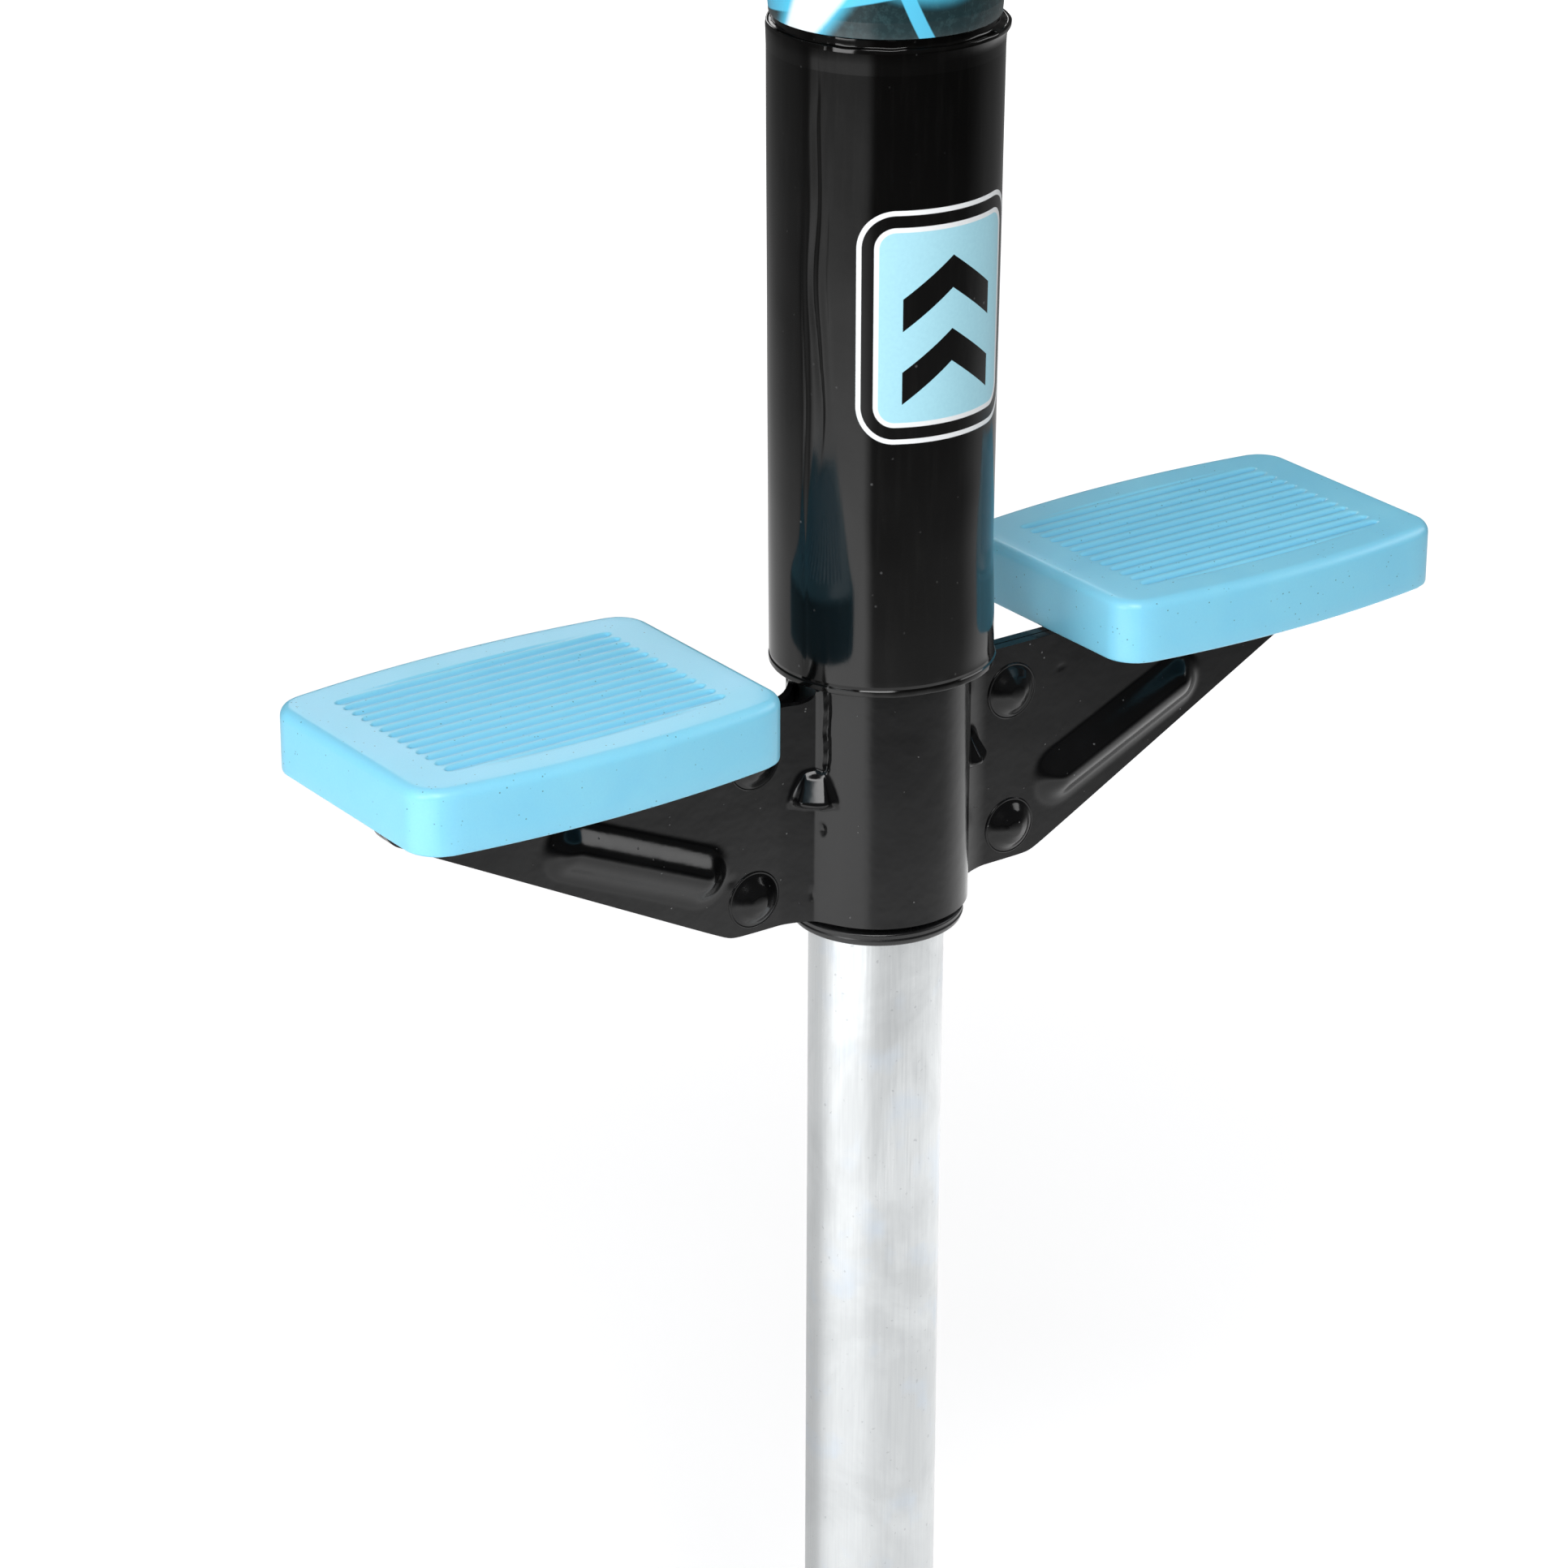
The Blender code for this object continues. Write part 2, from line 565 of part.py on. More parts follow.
def make_rubber_tip():
    """The rubber foot on the shaft and the steel disc that keeps the tube from cutting through."""
    socket = SHAFT_R + RUN_GAP
    outer = socket + TIP_WALL
    outside = [(outer - TIP_MOUTH_CHAMFER, TIP_HEIGHT), (outer, TIP_HEIGHT - TIP_MOUTH_CHAMFER),
               (outer, TIP_HEIGHT - TIP_SKIRT), (TIP_R, TIP_SOLE)]
    outside += arc(TIP_R - TIP_EDGE_R, TIP_EDGE_R, TIP_EDGE_R, 0, -90, 4)
    profile = [(0, TIP_SOLE), (socket, TIP_SOLE), (socket, TIP_HEIGHT)] + outside + [(0, 0)]
    turned_piece("rubber_tip", profile, rubber)
    disc_bottom = TIP_SOLE + FIT_GAP
    disc_top = SHAFT_BOTTOM - FIT_GAP
    disc_r = SHAFT_R - FIT_GAP
    profile = [(0, disc_top), (disc_r, disc_top), (disc_r, disc_bottom), (0, disc_bottom)]
    turned_piece("tip_washer", profile, zinc)


def make_spring_parts():
    """The spring between its two seats, and the cross pin that holds the upper seat."""
    seat_r = TUBE_R - TUBE_WALL - SEAT_CLEARANCE
    for name, bottom in (("lower_spring_seat", lower_seat_bottom), ("upper_spring_seat", upper_seat_bottom)):
        turned_piece(name, ring(seat_r, SEAT_BORE_R, bottom, bottom + SEAT_THICKNESS), zinc)
    pin = add_piece("stop_pin",
                    cylinder_mesh("stop_pin", STOP_PIN_R, 2 * (TUBE_R - FIT_GAP), SMALL_STEPS), zinc)
    pin.location = (0, 0, stop_pin_z)
    pin.rotation_euler = (math.pi / 2, 0, 0)
    smooth(pin.data)
    wire = bpy.data.curves.new("spring", "CURVE")
    wire.dimensions = "3D"
    wire.bevel_depth = WIRE_R
    wire.bevel_resolution = 2
    wire.use_fill_caps = True
    spring_bottom = lower_seat_bottom + SEAT_THICKNESS + FIT_GAP + WIRE_R
    rise = SPRING_LENGTH - 2 * (FIT_GAP + WIRE_R)
    points_per_turn = 10
    count = SPRING_TURNS * points_per_turn
    spline = wire.splines.new("POLY")
    spline.points.add(count)
    for index, point in enumerate(spline.points):
        angle = math.tau * index / points_per_turn
        point.co = (SPRING_R * math.cos(angle), SPRING_R * math.sin(angle),
                    spring_bottom + rise * index / count, 1)
    spring = bpy.data.objects.new("spring", wire)
    parts.objects.link(spring)
    wire.materials.append(spring_steel)


clear_scene()
parts = new_collection("pogo_stick")
cutters = new_collection("cutters")
zinc = new_material("galvanised_steel", (0.62, 0.64, 0.66), 0.35, 1.0)
black_dip = new_material("black_dip_paint", (0.012, 0.012, 0.013), 0.22)
black_vinyl = new_material("black_vinyl", (0.010, 0.010, 0.011), 0.25)
black_plastic = new_material("black_plastic", (0.015, 0.015, 0.016), 0.45)
printed_vinyl = new_material("printed_vinyl", (0.02, 0.10, 0.12), 0.30)
foam_black = new_material("black_foam", (0.02, 0.02, 0.02), 0.95)
foam_grey = new_material("grey_foam", (0.10, 0.10, 0.10), 0.95)
blue_plastic = new_material("sky_blue_plastic", (0.23, 0.62, 0.85), 0.40)
white_nylon = new_material("white_nylon", (0.80, 0.80, 0.76), 0.50)
rubber = new_material("black_rubber", (0.02, 0.02, 0.02), 0.85)
spring_steel = new_material("spring_steel", (0.30, 0.30, 0.31), 0.40, 1.0)

guide_top = SHAFT_TOP + GUIDE_CAP
lower_seat_bottom = guide_top + FIT_GAP
upper_seat_bottom = lower_seat_bottom + SEAT_THICKNESS + SPRING_LENGTH
stop_pin_z = upper_seat_bottom + SEAT_THICKNESS + FIT_GAP + STOP_PIN_R

make_main_tube()
make_top_cap()
make_handlebar()
make_padding()
bracket_joined, bracket_removed = make_bracket_guides()
make_bracket_half("bracket_front", -1, bracket_joined, bracket_removed)
make_bracket_half("bracket_rear", 1, bracket_joined, bracket_removed)
for which in SIDES:
    make_grip(which)
    make_end_plug(which)
    make_pedal(which)
    make_pedal_screw(which, "front")
    make_pedal_screw(which, "rear")
    make_rivet(which, "lower")
    make_rivet(which, "upper")
make_bush()
make_shaft()
make_rubber_tip()
make_spring_parts()
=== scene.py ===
"""The look of a child's pogo stick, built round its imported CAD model.

The stick's axis is Z, the pedals and the handlebar lie along X, the front face looks towards
-Y, and the ground is at Z = 0. Shapes are worked out in millimetres and become metres when
their mesh is made. The camera, the lights and the materials are in metres.
"""

import math
from collections import Counter, namedtuple

import bmesh
import bpy
from mathutils import Matrix, Vector, noise


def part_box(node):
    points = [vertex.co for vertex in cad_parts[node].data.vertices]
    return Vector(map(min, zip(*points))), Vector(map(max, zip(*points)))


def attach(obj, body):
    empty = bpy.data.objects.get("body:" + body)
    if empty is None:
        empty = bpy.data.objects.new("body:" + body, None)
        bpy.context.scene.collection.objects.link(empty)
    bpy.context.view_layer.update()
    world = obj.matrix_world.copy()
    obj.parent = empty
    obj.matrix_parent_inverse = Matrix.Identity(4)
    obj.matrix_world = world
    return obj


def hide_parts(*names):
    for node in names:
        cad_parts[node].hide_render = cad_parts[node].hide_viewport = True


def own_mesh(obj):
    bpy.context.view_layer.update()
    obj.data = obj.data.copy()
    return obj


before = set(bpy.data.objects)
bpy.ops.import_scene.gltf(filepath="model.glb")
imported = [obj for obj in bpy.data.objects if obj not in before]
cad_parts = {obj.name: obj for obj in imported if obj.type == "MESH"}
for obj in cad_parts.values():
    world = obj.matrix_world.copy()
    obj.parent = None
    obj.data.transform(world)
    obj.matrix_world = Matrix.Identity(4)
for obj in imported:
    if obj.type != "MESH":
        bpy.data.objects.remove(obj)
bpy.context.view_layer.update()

MM = 0.001
MICRON = 1e-6
SIDES = {"left": -1, "right": 1}
ROUND = 128                     # facets round a visible tube
QUARTER = math.pi / 2

# ---- camera and studio, in metres and watts ---------------------------------------------
CAMERA_AT = (-0.5421, -0.7292, 0.65779)
CAMERA_YAW = math.radians(-35.535)
CAMERA_DIP = math.radians(23.388)
CAMERA_ROLL = math.radians(0.174)
CAMERA_LENS = 122.4
SENSOR = 36.0
SOFTBOXES = {
    # name: place, width and height, power
    "key_softbox": ((-0.54, -0.70, 1.22), (0.66, 0.66), 12.5),
    "left_softbox": ((-1.12, -0.26, 0.68), (0.45, 0.7), 6.2),
    "right_softbox": ((1.02, -0.27, 0.84), (0.8, 0.5), 4),
    "rear_softbox": ((0.34, 0.72, 0.68), (0.36, 0.3), 0.9),
}
ROOM_LEVEL = 0.07               # brightness of the room in reflections
ROOM_WHITE = 1.1                # and to the camera
FLOOR_GLOW = (0.49, 1.2)        # light added to the floor for the camera, near and far
FLOOR_HALF = 20.0
FLOOR_REACH = 2.0               # distance from the axis at which the brightness ramps end
FLOOR_PEAK = 3.0                # brightness that is 1 on a ramp
RAMP_PLACES = (0.0, 0.30, 0.45, 0.57, 0.68, 0.80, 0.95, 1.3, 2.0)
FLOOR_ROOM = (1.05, 1.15, 1.55, 0.8, 0.5, 0.33, 0.12, 0.03, 0.01)
FLOOR_LEFT = (0.1, 0.15, 0.2, 1.5, 1.8, 2.0, 1.6, 0.5, 0.1)
FLOOR_BACK = (0.0, 0.0, 0.0, 0.3, 0.5, 0.55, 0.3, 0.15, 0.1)
LEFT_LOBE = (-170, 30)          # bearing and half width, in degrees, of a patch of floor
BACK_LOBE = (62, 95)
SHADE_LOBE = (95, 45)
SHADE_DEPTH = 0.4

# ---- materials --------------------------------------------------------------------------
BLACK_GLOSS = 0.36              # specular level of the black paint and vinyl
ZINC = (0.67, 0.69, 0.697)
ZINC_DULL = (0.603, 0.621, 0.6273)
BADGE_R = 20.6                  # the sleeve's radius at the badge, and the badge's middle height
BADGE_Z = 360.6
BADGE_HALF_WIDTH = 17.8
BADGE_HALF_HEIGHT = 21.5
BADGE_CORNER = 7.0
BADGE_RINGS = (0, 0.9, 3.1, 4.0)    # how far in its white edge, black gap, white line and field start
ARROW_CENTRES = (-4.0, 9.5)
ARROW_SLOPE = 0.75
ARROW_HALF_WIDTH = 9.55
ARROW_HALF_DEPTH = 3.0
PRINT_SHIFT = (0.021, 0.008, 0.012)
PRINT_TILT = (0.5, 0.7, 0.0)

# ---- foot bracket; its levels are heights from the pedals' top --------------------------
WING_FACE = 2.1                 # from the middle plane to a wing's outer face
WING_SHEET = 1.95
WING_TOP = -13.4
WING_CORNER_X = 34.6            # where the lower edge starts to rise
WING_CORNER_BEND = 1.3
WING_SLOPE = 0.5
WING_TIP_X = 108.0
WING_TIP_R = 5.5
WING_TIP_LEVEL = -15.4
COLLAR_R = 17.1
COLLAR_SHEET = 1.0
ARC_TURN = math.radians(-29.5)  # the collar is round from its front to here, then runs straight
CREASE_Y = -4.25                # to the crease where the wing starts
DISH_X = 24.0                   # between here and the crease a wing's face leans outwards
FILLET_X = 21.0                 # where a wing's upper edge starts to sweep up to the collar
FILLET_RISE = 2.4
FOLD_R = (0.4, 1.0)             # how far the crease is filled either side, above and below a dart
FLANGE_X = (45.0, 105.5)
FLANGE_BEND = 2.5
FLANGE_TOP = -5.9
FLANGE_EDGE_Y = -20.5
BEAD = ((41.2, -42.3), (69.3, -29.9))   # ends of the pressed rib's middle line, as x and level
BEAD_HALF_WIDTH = 6.3
BEAD_HEIGHT = 2.9
DART_APEX = -25.9
DART_FOOT = -33.0
DART_HALO = (2.2, 5.4)          # half width over which it blends out, at apex and foot
DART_FACE = (0.9, 2.6)          # half width of its flat face
DART_PUSH = 3.0
DRIP_ALONG = -2.15              # the run of paint on the left of the collar, from the crease
DRIP_HALF_WIDTH = 0.75
DRIP_HEIGHT = 0.6
PITS = {
    # distance along the face from the crease, level, radius and depth
    "left": ((-1.6, -38.2, 0.55, 0.4), (-1.1, -37.5, 0.4, 0.25), (0.5, -51.2, 0.4, 0.35),
             (17.2, -45.2, 0.5, 0.3)),
    "right": ((0.9, -50.5, 0.5, 0.25), (24.0, -20.5, 0.4, 0.2)),
}
RIVET_HEAD = ((0, 2.35, 0), (1.6, 2.18, 2.5), (3.3, 1.42, 3.0), (4.6, 0.42, 1.6), (5.15, 0.16, 0.5),
              (5.4, 0.24, 0.15), (5.6, 0.12, 0.15), (5.65, -0.05, 0), (2.2, -0.05, 0))

# ---- pedals -----------------------------------------------------------------------------
PEDAL_BULGE = 0.134             # how much wider a pedal is at its middle than at its ends
PEDAL_CORNER = 5.8
PEDAL_EDGE = 2.0
PEDAL_FOOT = 0.6                # radius of its lower outer edge
PEDAL_WALL = 3.0
PEDAL_CEILING = 3.6
PEDAL_ACROSS = 150              # points across the tread, which cut the ribs
END_SHARE = 0.93                # beyond this share of the tread's half length its points crowd
SIDE_STRAIGHT = 0.86            # share of a side's points on its straight run
TREAD_HALF_LENGTH = 29.3
TREAD_HALF_WIDTH = 18.6
TREAD_MARGIN = (0.8, 0.9)
RIB_PITCH = 3.0
RIB_COUNT = 14
RIB_DEPTH = 0.46
SCREW_HEAD = 2.5
SCREW_SHANK_R = 1.6
SCREW_PITCH = 0.6
SCREW_TURNS = 6

# ---- padding, tubes and inner parts -----------------------------------------------------
SKIN = 0.6
SLEEVE_FOOT_R = 20.2
SLEEVE_TOP_R = 21.0
LIP = 1.4                       # height of the sleeve's folded lip
TUCK_R = 20.0                   # the skin's upper edge, tucked in under the printed cover
TUCK = 1.1
BULGE_TURN = math.radians(-32)  # where the foam inside has been pushed outwards a little
BULGE_SPREAD = math.radians(38)
CREASES = (
    # centre angle, sway, depth in mm, half width in degrees, lower and upper end
    (-160, 0.10, 0.26, 1.7, 335, 405),
    (-154, 0.07, 0.14, 1.3, 345, 415),
    (-168, 0.04, 0.10, 1.2, 290, 380),
    (40, 0.06, 0.10, 2.0, 310, 380),
)
FOAM_BORE_R = 16.2
TUBE_WALL = 1.5
GRIP_RINGS = (0.12, 0.88)       # shares of a grip's length
PLUG_FACE = 4.0
PLUG_R = 9.3
PLUG_DEPTH = 11.6
CAP_PLUG_R = 13.9
CAP_GAP = 0.3
BORE_R = 12.9                   # of the bush and the rubber tip
BUSH_BARREL_R = 14.0
BUSH_FLANGE = 2.6
TIP_GRIP_RINGS = 5
TIP_GRIP_PITCH = 3.4
TIP_FLOOR = 14.0
SOLE_RINGS = (15.4, 11.8, 8.2, 4.6)
WIRE_R = 1.9
COIL_TURNS = 13
COIL_STEPS = 28
WELD_STEPS = 168
WELD_RIPPLES = 26

Box = namedtuple("Box", "low high size middle")
Column = namedtuple("Column", "x y along sheet")    # an upright line of the bracket's outer face


def box_of(node):
    """A CAD node's box in millimetres."""
    low, high = (Vector(corner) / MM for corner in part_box(node))
    return Box(low, high, high - low, (low + high) / 2)


pedal_top = box_of("pedal_left").high.z
pedal_x = box_of("pedal_right").middle.x
collar_foot = box_of("bracket_front").low.z - pedal_top
collar_head = box_of("bracket_front").high.z - pedal_top
crease_x = COLLAR_R * math.cos(ARC_TURN) - (CREASE_Y - COLLAR_R * math.sin(ARC_TURN)) * math.tan(ARC_TURN)
tip_centre_x = WING_TIP_X - WING_TIP_R
tip_turn = math.atan(WING_SLOPE) - QUARTER
tip_start_x = tip_centre_x + WING_TIP_R * math.cos(tip_turn)


# ---- mesh helpers -----------------------------------------------------------------------
def smoothstep(low, high, value):
    share = min(1.0, max(0.0, (value - low) / (high - low)))
    return share * share * (3 - 2 * share)


def between(start, end, share):
    return start + (end - start) * share


def spaced(start, end, count):
    """Values from start up to, but without, the end."""
    return [between(start, end, index / count) for index in range(count)]


def wrapped(angle):
    """The angle between minus and plus half a turn."""
    return (angle + math.pi) % math.tau - math.pi


def waver(angle, height, wide=1.0):
    """A place for noise that runs without a seam round a turned piece."""
    return Vector((math.cos(angle) * wide, math.sin(angle) * wide, height))


def rounded(corners, steps=4):
    """Corners of an outline as (x, y, radius), with each one turned on its radius."""
    points = []
    for index, (x, y, radius) in enumerate(corners):
        here = Vector((x, y))
        before = Vector(corners[index - 1][:2]) - here
        after = Vector(corners[(index + 1) % len(corners)][:2]) - here
        if radius == 0 or before.length == 0 or after.length == 0:
            points.append((x, y))
            continue
        half = before.angle(after) / 2
        reach = min(radius / math.tan(half), 0.48 * before.length, 0.48 * after.length)
        radius = reach * math.tan(half)
        inward = (before.normalized() + after.normalized()).normalized()
        centre = here + inward * (radius / math.sin(half))
        first = here + before.normalized() * reach - centre
        last = here + after.normalized() * reach - centre
        for step in range(steps + 1):
            spoke = first.lerp(last, step / steps).normalized() * radius
            points.append((centre.x + spoke.x, centre.y + spoke.y))
    return points


def finished(name, points, faces, sharp=40):
    """A smooth-shaded object from points in millimetres and faces, with outward normals."""
    mesh = bpy.data.meshes.new(name)
    mesh.from_pydata([Vector(point) * MM for point in points], [], faces)
    shape = bmesh.new()
    shape.from_mesh(mesh)
    bmesh.ops.recalc_face_normals(shape, faces=shape.faces)
    shape.to_mesh(mesh)
    shape.free()
    mesh.shade_smooth()
    mesh.set_sharp_from_angle(angle=math.radians(sharp))
    piece = bpy.data.objects.new(name, mesh)
    bpy.context.scene.collection.objects.link(piece)
    return piece


def bridge(lower, upper):
    """Quads between two closed rings of point numbers; a ring may be one repeated point."""
    faces = []
    for index in range(len(lower)):
        after = (index + 1) % len(lower)
        face = list(dict.fromkeys((lower[index], lower[after], upper[after], upper[index])))
        if len(face) > 2:
            faces.append(face)
    return faces


def lathe(name, profile, steps=ROUND, ripple=None, lift=None, closed=True, sharp=40):
    """A profile of (radius, height) turned about Z.

    ripple(angle, height) adds to the radius, and lift(angle, radius, height) to the height.
    """
    points = []
    rings = []
    for radius, height in profile:
        if radius < 1e-4:
            rings.append([len(points)] * steps)
            points.append((0, 0, height))
            continue
        rings.append(list(range(len(points), len(points) + steps)))
        for angle in spaced(0, math.tau, steps):
            reach = radius + (ripple(angle, height) if ripple else 0)
            raised = height + (lift(angle, reach, height) if lift else 0)
            points.append((reach * math.cos(angle), reach * math.sin(angle), raised))
    faces = []
    for lower, upper in zip(rings, rings[1:] + rings[:1] if closed else rings[1:]):
        faces += bridge(lower, upper)
    return finished(name, points, faces, sharp)


def refine(profile, longest):
    """The profile with long straight runs cut into shorter ones."""
    points = []
    for start, end in zip(profile, profile[1:] + profile[:1]):
        cuts = max(1, math.ceil(math.dist(start, end) / longest))
        for share in spaced(0.0, 1.0, cuts):
            points.append((between(start[0], end[0], share), between(start[1], end[1], share)))
    return points


def swept(name, path, radius_at, loop=False, sides=12):
    """A round wire along a path of points, closed on itself or with flat ends."""
    points = []
    rings = []
    count = len(path)
    for index, here in enumerate(path):
        ahead = path[(index + 1) % count] if loop else path[min(index + 1, count - 1)]
        behind = path[index - 1] if loop else path[max(index - 1, 0)]
        along = (ahead - behind).normalized()
        across = along.cross(Vector((0, 0, 1)) if abs(along.z) < 0.9 else Vector((1, 0, 0)))
        across.normalize()
        up = across.cross(along)
        radius = radius_at(index / count)
        rings.append(list(range(len(points), len(points) + sides)))
        for angle in spaced(0, math.tau, sides):
            points.append(here + (across * math.cos(angle) + up * math.sin(angle)) * radius)
    faces = [] if loop else [list(reversed(rings[0])), rings[-1]]
    for lower, upper in zip(rings, rings[1:] + rings[:1] if loop else rings[1:]):
        faces += bridge(lower, upper)
    return finished(name, points, faces, 60)


def place(piece, where, turn=0.0, axis="Y"):
    """Turns the piece's own points and moves them by millimetres. Its object stays put."""
    moved = Matrix.Translation(Vector(where) * MM)
    piece.data.transform(moved @ Matrix.Rotation(turn, 4, axis))
    piece.data.update()


def settle(piece, body, slot, material, *nodes):
    """Gives the piece its material and its body, and hides the CAD nodes it stands for; slot is not used."""
    piece.data.materials.append(material)
    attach(piece, body)
    if nodes:
        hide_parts(*nodes)


# ---- material helpers -------------------------------------------------------------------
def linear(*display):
    """A linear colour from 0 to 255 display values."""
    shares = [value / 255 for value in display]
    return tuple(share / 12.92 if share < 0.04045 else ((share + 0.055) / 1.055) ** 2.4 for share in shares)


def socket_name(key):
    """A shader socket's name from a plain keyword."""
    return " ".join("IOR" if word == "ior" else word.capitalize() for word in key.split("_"))


class Nodes:
    """A short way to lay out one material's nodes."""

    def __init__(self, name, **shader_values):
        self.material = bpy.data.materials.new(name)
        self.material.use_nodes = True
        self.tree = self.material.node_tree
        self.shader = self.tree.nodes["Principled BSDF"]
        self.paint(**shader_values)
        self.where = self.add("ShaderNodeTexCoord").outputs["Object"]

    def feed(self, socket, value):
        if isinstance(value, bpy.types.NodeSocket):
            self.tree.links.new(value, socket)
        elif socket.type == "RGBA":
            socket.default_value = (*value, 1)
        else:
            socket.default_value = value

    def add(self, kind, inputs=None, **settings):
        node = self.tree.nodes.new(kind)
        for key, value in settings.items():
            setattr(node, key, value)
        for key, value in (inputs or {}).items():
            self.feed(node.inputs[key], value)
        return node

    def paint(self, **values):
        for key, value in values.items():
            self.feed(self.shader.inputs[socket_name(key)], value)
        return self.material

    def math(self, operation, *values):
        return self.add("ShaderNodeMath", dict(enumerate(values)), operation=operation).outputs[0]

    def plus(self, first, second):
        return self.math("ADD", first, second)

    def minus(self, first, second):
        return self.math("SUBTRACT", first, second)

    def times(self, first, second):
        return self.math("MULTIPLY", first, second)

    def size(self, value):
        return self.math("ABSOLUTE", value)

    def moved(self, scale=(1, 1, 1), shift=(0, 0, 0), tilt=(0, 0, 0), where=None):
        """A place on the piece, scaled along each axis, turned and shifted."""
        return self.add("ShaderNodeMapping", {"Vector": where or self.where, "Location": shift,
                                              "Rotation": tilt, "Scale": scale}).outputs[0]

    def split(self, scale):
        """The three coordinates of the place, each multiplied by the scale."""
        return self.add("ShaderNodeSeparateXYZ", {"Vector": self.moved((scale,) * 3)}).outputs

    def noise(self, scale, detail=3.0, rough=0.5, where=None, distortion=0.0):
        return self.add("ShaderNodeTexNoise", {"Vector": where or self.where, "Scale": scale,
                                               "Detail": detail, "Roughness": rough,
                                               "Distortion": distortion}).outputs[0]

    def cells(self, scale, where=None, feature="F1"):
        node = self.add("ShaderNodeTexVoronoi", feature=feature)
        self.feed(node.inputs["Vector"], where or self.where)
        self.feed(node.inputs["Scale"], scale)
        return node.outputs["Distance"]

    def map(self, value, from_low, from_high, to_low=0.0, to_high=1.0, smooth=False):
        node = self.add("ShaderNodeMapRange", {"Value": value, "From Min": from_low, "From Max": from_high,
                                               "To Min": to_low, "To Max": to_high})
        if smooth:
            node.interpolation_type = "SMOOTHSTEP"
        return node.outputs["Result"]

    def specks(self, cells, reach, rarity, low, high, detail=1):
        """Scattered dots: cells give their places and reach their size, and rarity leaves few."""
        return self.times(self.map(self.cells(cells), *reach),
                          self.map(self.noise(rarity, detail), low, high))

    def mix(self, share, first, second):
        node = self.add("ShaderNodeMix", data_type="RGBA")
        for key, value in (("Factor", share), ("A", first), ("B", second)):
            self.feed(node.inputs[key], value)
        return node.outputs["Result"]

    def tint(self, tone, *layers):
        """The tone under layers of (value, low, high, share, colour): each colour comes in up
        to its share as its value goes from low to high."""
        for value, low, high, share, colour in layers:
            tone = self.mix(self.map(value, low, high, 0, share), tone, colour)
        return tone

    def bump(self, *layers):
        """Bump from (height, depth in microns) layers, set on the shader's normal."""
        normal = None
        for height, depth in layers:
            node = self.add("ShaderNodeBump", {"Height": height, "Distance": depth * MICRON, "Strength": 1.0})
            if normal is not None:
                self.feed(node.inputs["Normal"], normal)
            normal = node.outputs["Normal"]
        self.feed(self.shader.inputs["Normal"], normal)


# ---- materials --------------------------------------------------------------------------
def galvanised(name, stretch, roughness=0.3):
    """Zinc-plated tube: drawing lines along its length, soft blotches and bluish passivation."""
    nodes = Nodes(name, metallic=1.0)
    lines = nodes.noise(70, 4, 0.6, nodes.moved(stretch))
    blotches = nodes.noise(38, 5, 0.62, distortion=0.6)
    tone = nodes.tint(ZINC, (blotches, 0.42, 0.6, 1, ZINC_DULL),
                      (nodes.noise(90), 0.56, 0.72, 0.55, (0.58, 0.66, 0.76)),
                      (lines, 0.35, 0.7, 0.16, (0.42, 0.44, 0.47)),
                      (nodes.noise(900, 1), 0.72, 0.78, 0.35, (0.3, 0.31, 0.33)))
    rough = nodes.plus(nodes.map(lines, 0.3, 0.7, roughness - 0.04, roughness + 0.04),
                       nodes.map(blotches, 0.4, 0.62, 0, 0.07))
    nodes.bump((lines, 10), (blotches, 60), (nodes.noise(700, 2), 4))
    return nodes.paint(base_color=tone, roughness=rough)


def black_dip():
    """Thick dipped enamel: glossy, with faint orange peel, dust nibs and small dull spots."""
    nodes = Nodes("black_dip_paint", ior=1.5, specular_ior_level=BLACK_GLOSS)
    haze = nodes.noise(60, 4, 0.55)
    nib = nodes.specks(620, (0.13, 0.07), 330, 0.60, 0.64)
    tone = nodes.tint((0.0034, 0.0034, 0.0036), (haze, 0.35, 0.7, 1, (0.0062, 0.0062, 0.0065)),
                      (nib, 0, 1, 0.6, (0.22, 0.22, 0.22)))
    nodes.bump((haze, 160), (nodes.noise(420, 2), 4.5), (nib, 40))
    return nodes.paint(base_color=tone, roughness=nodes.map(haze, 0.3, 0.72, 0.13, 0.20))


def vinyl_wear(nodes):
    """Fine lengthways rub marks and dust, as (rub, dust) shares."""
    rub = nodes.map(nodes.noise(50, 4, 0.65, nodes.moved((12, 12, 1))), 0.5, 0.72)
    return rub, nodes.specks(420, (0.14, 0.04), 200, 0.6, 0.66)


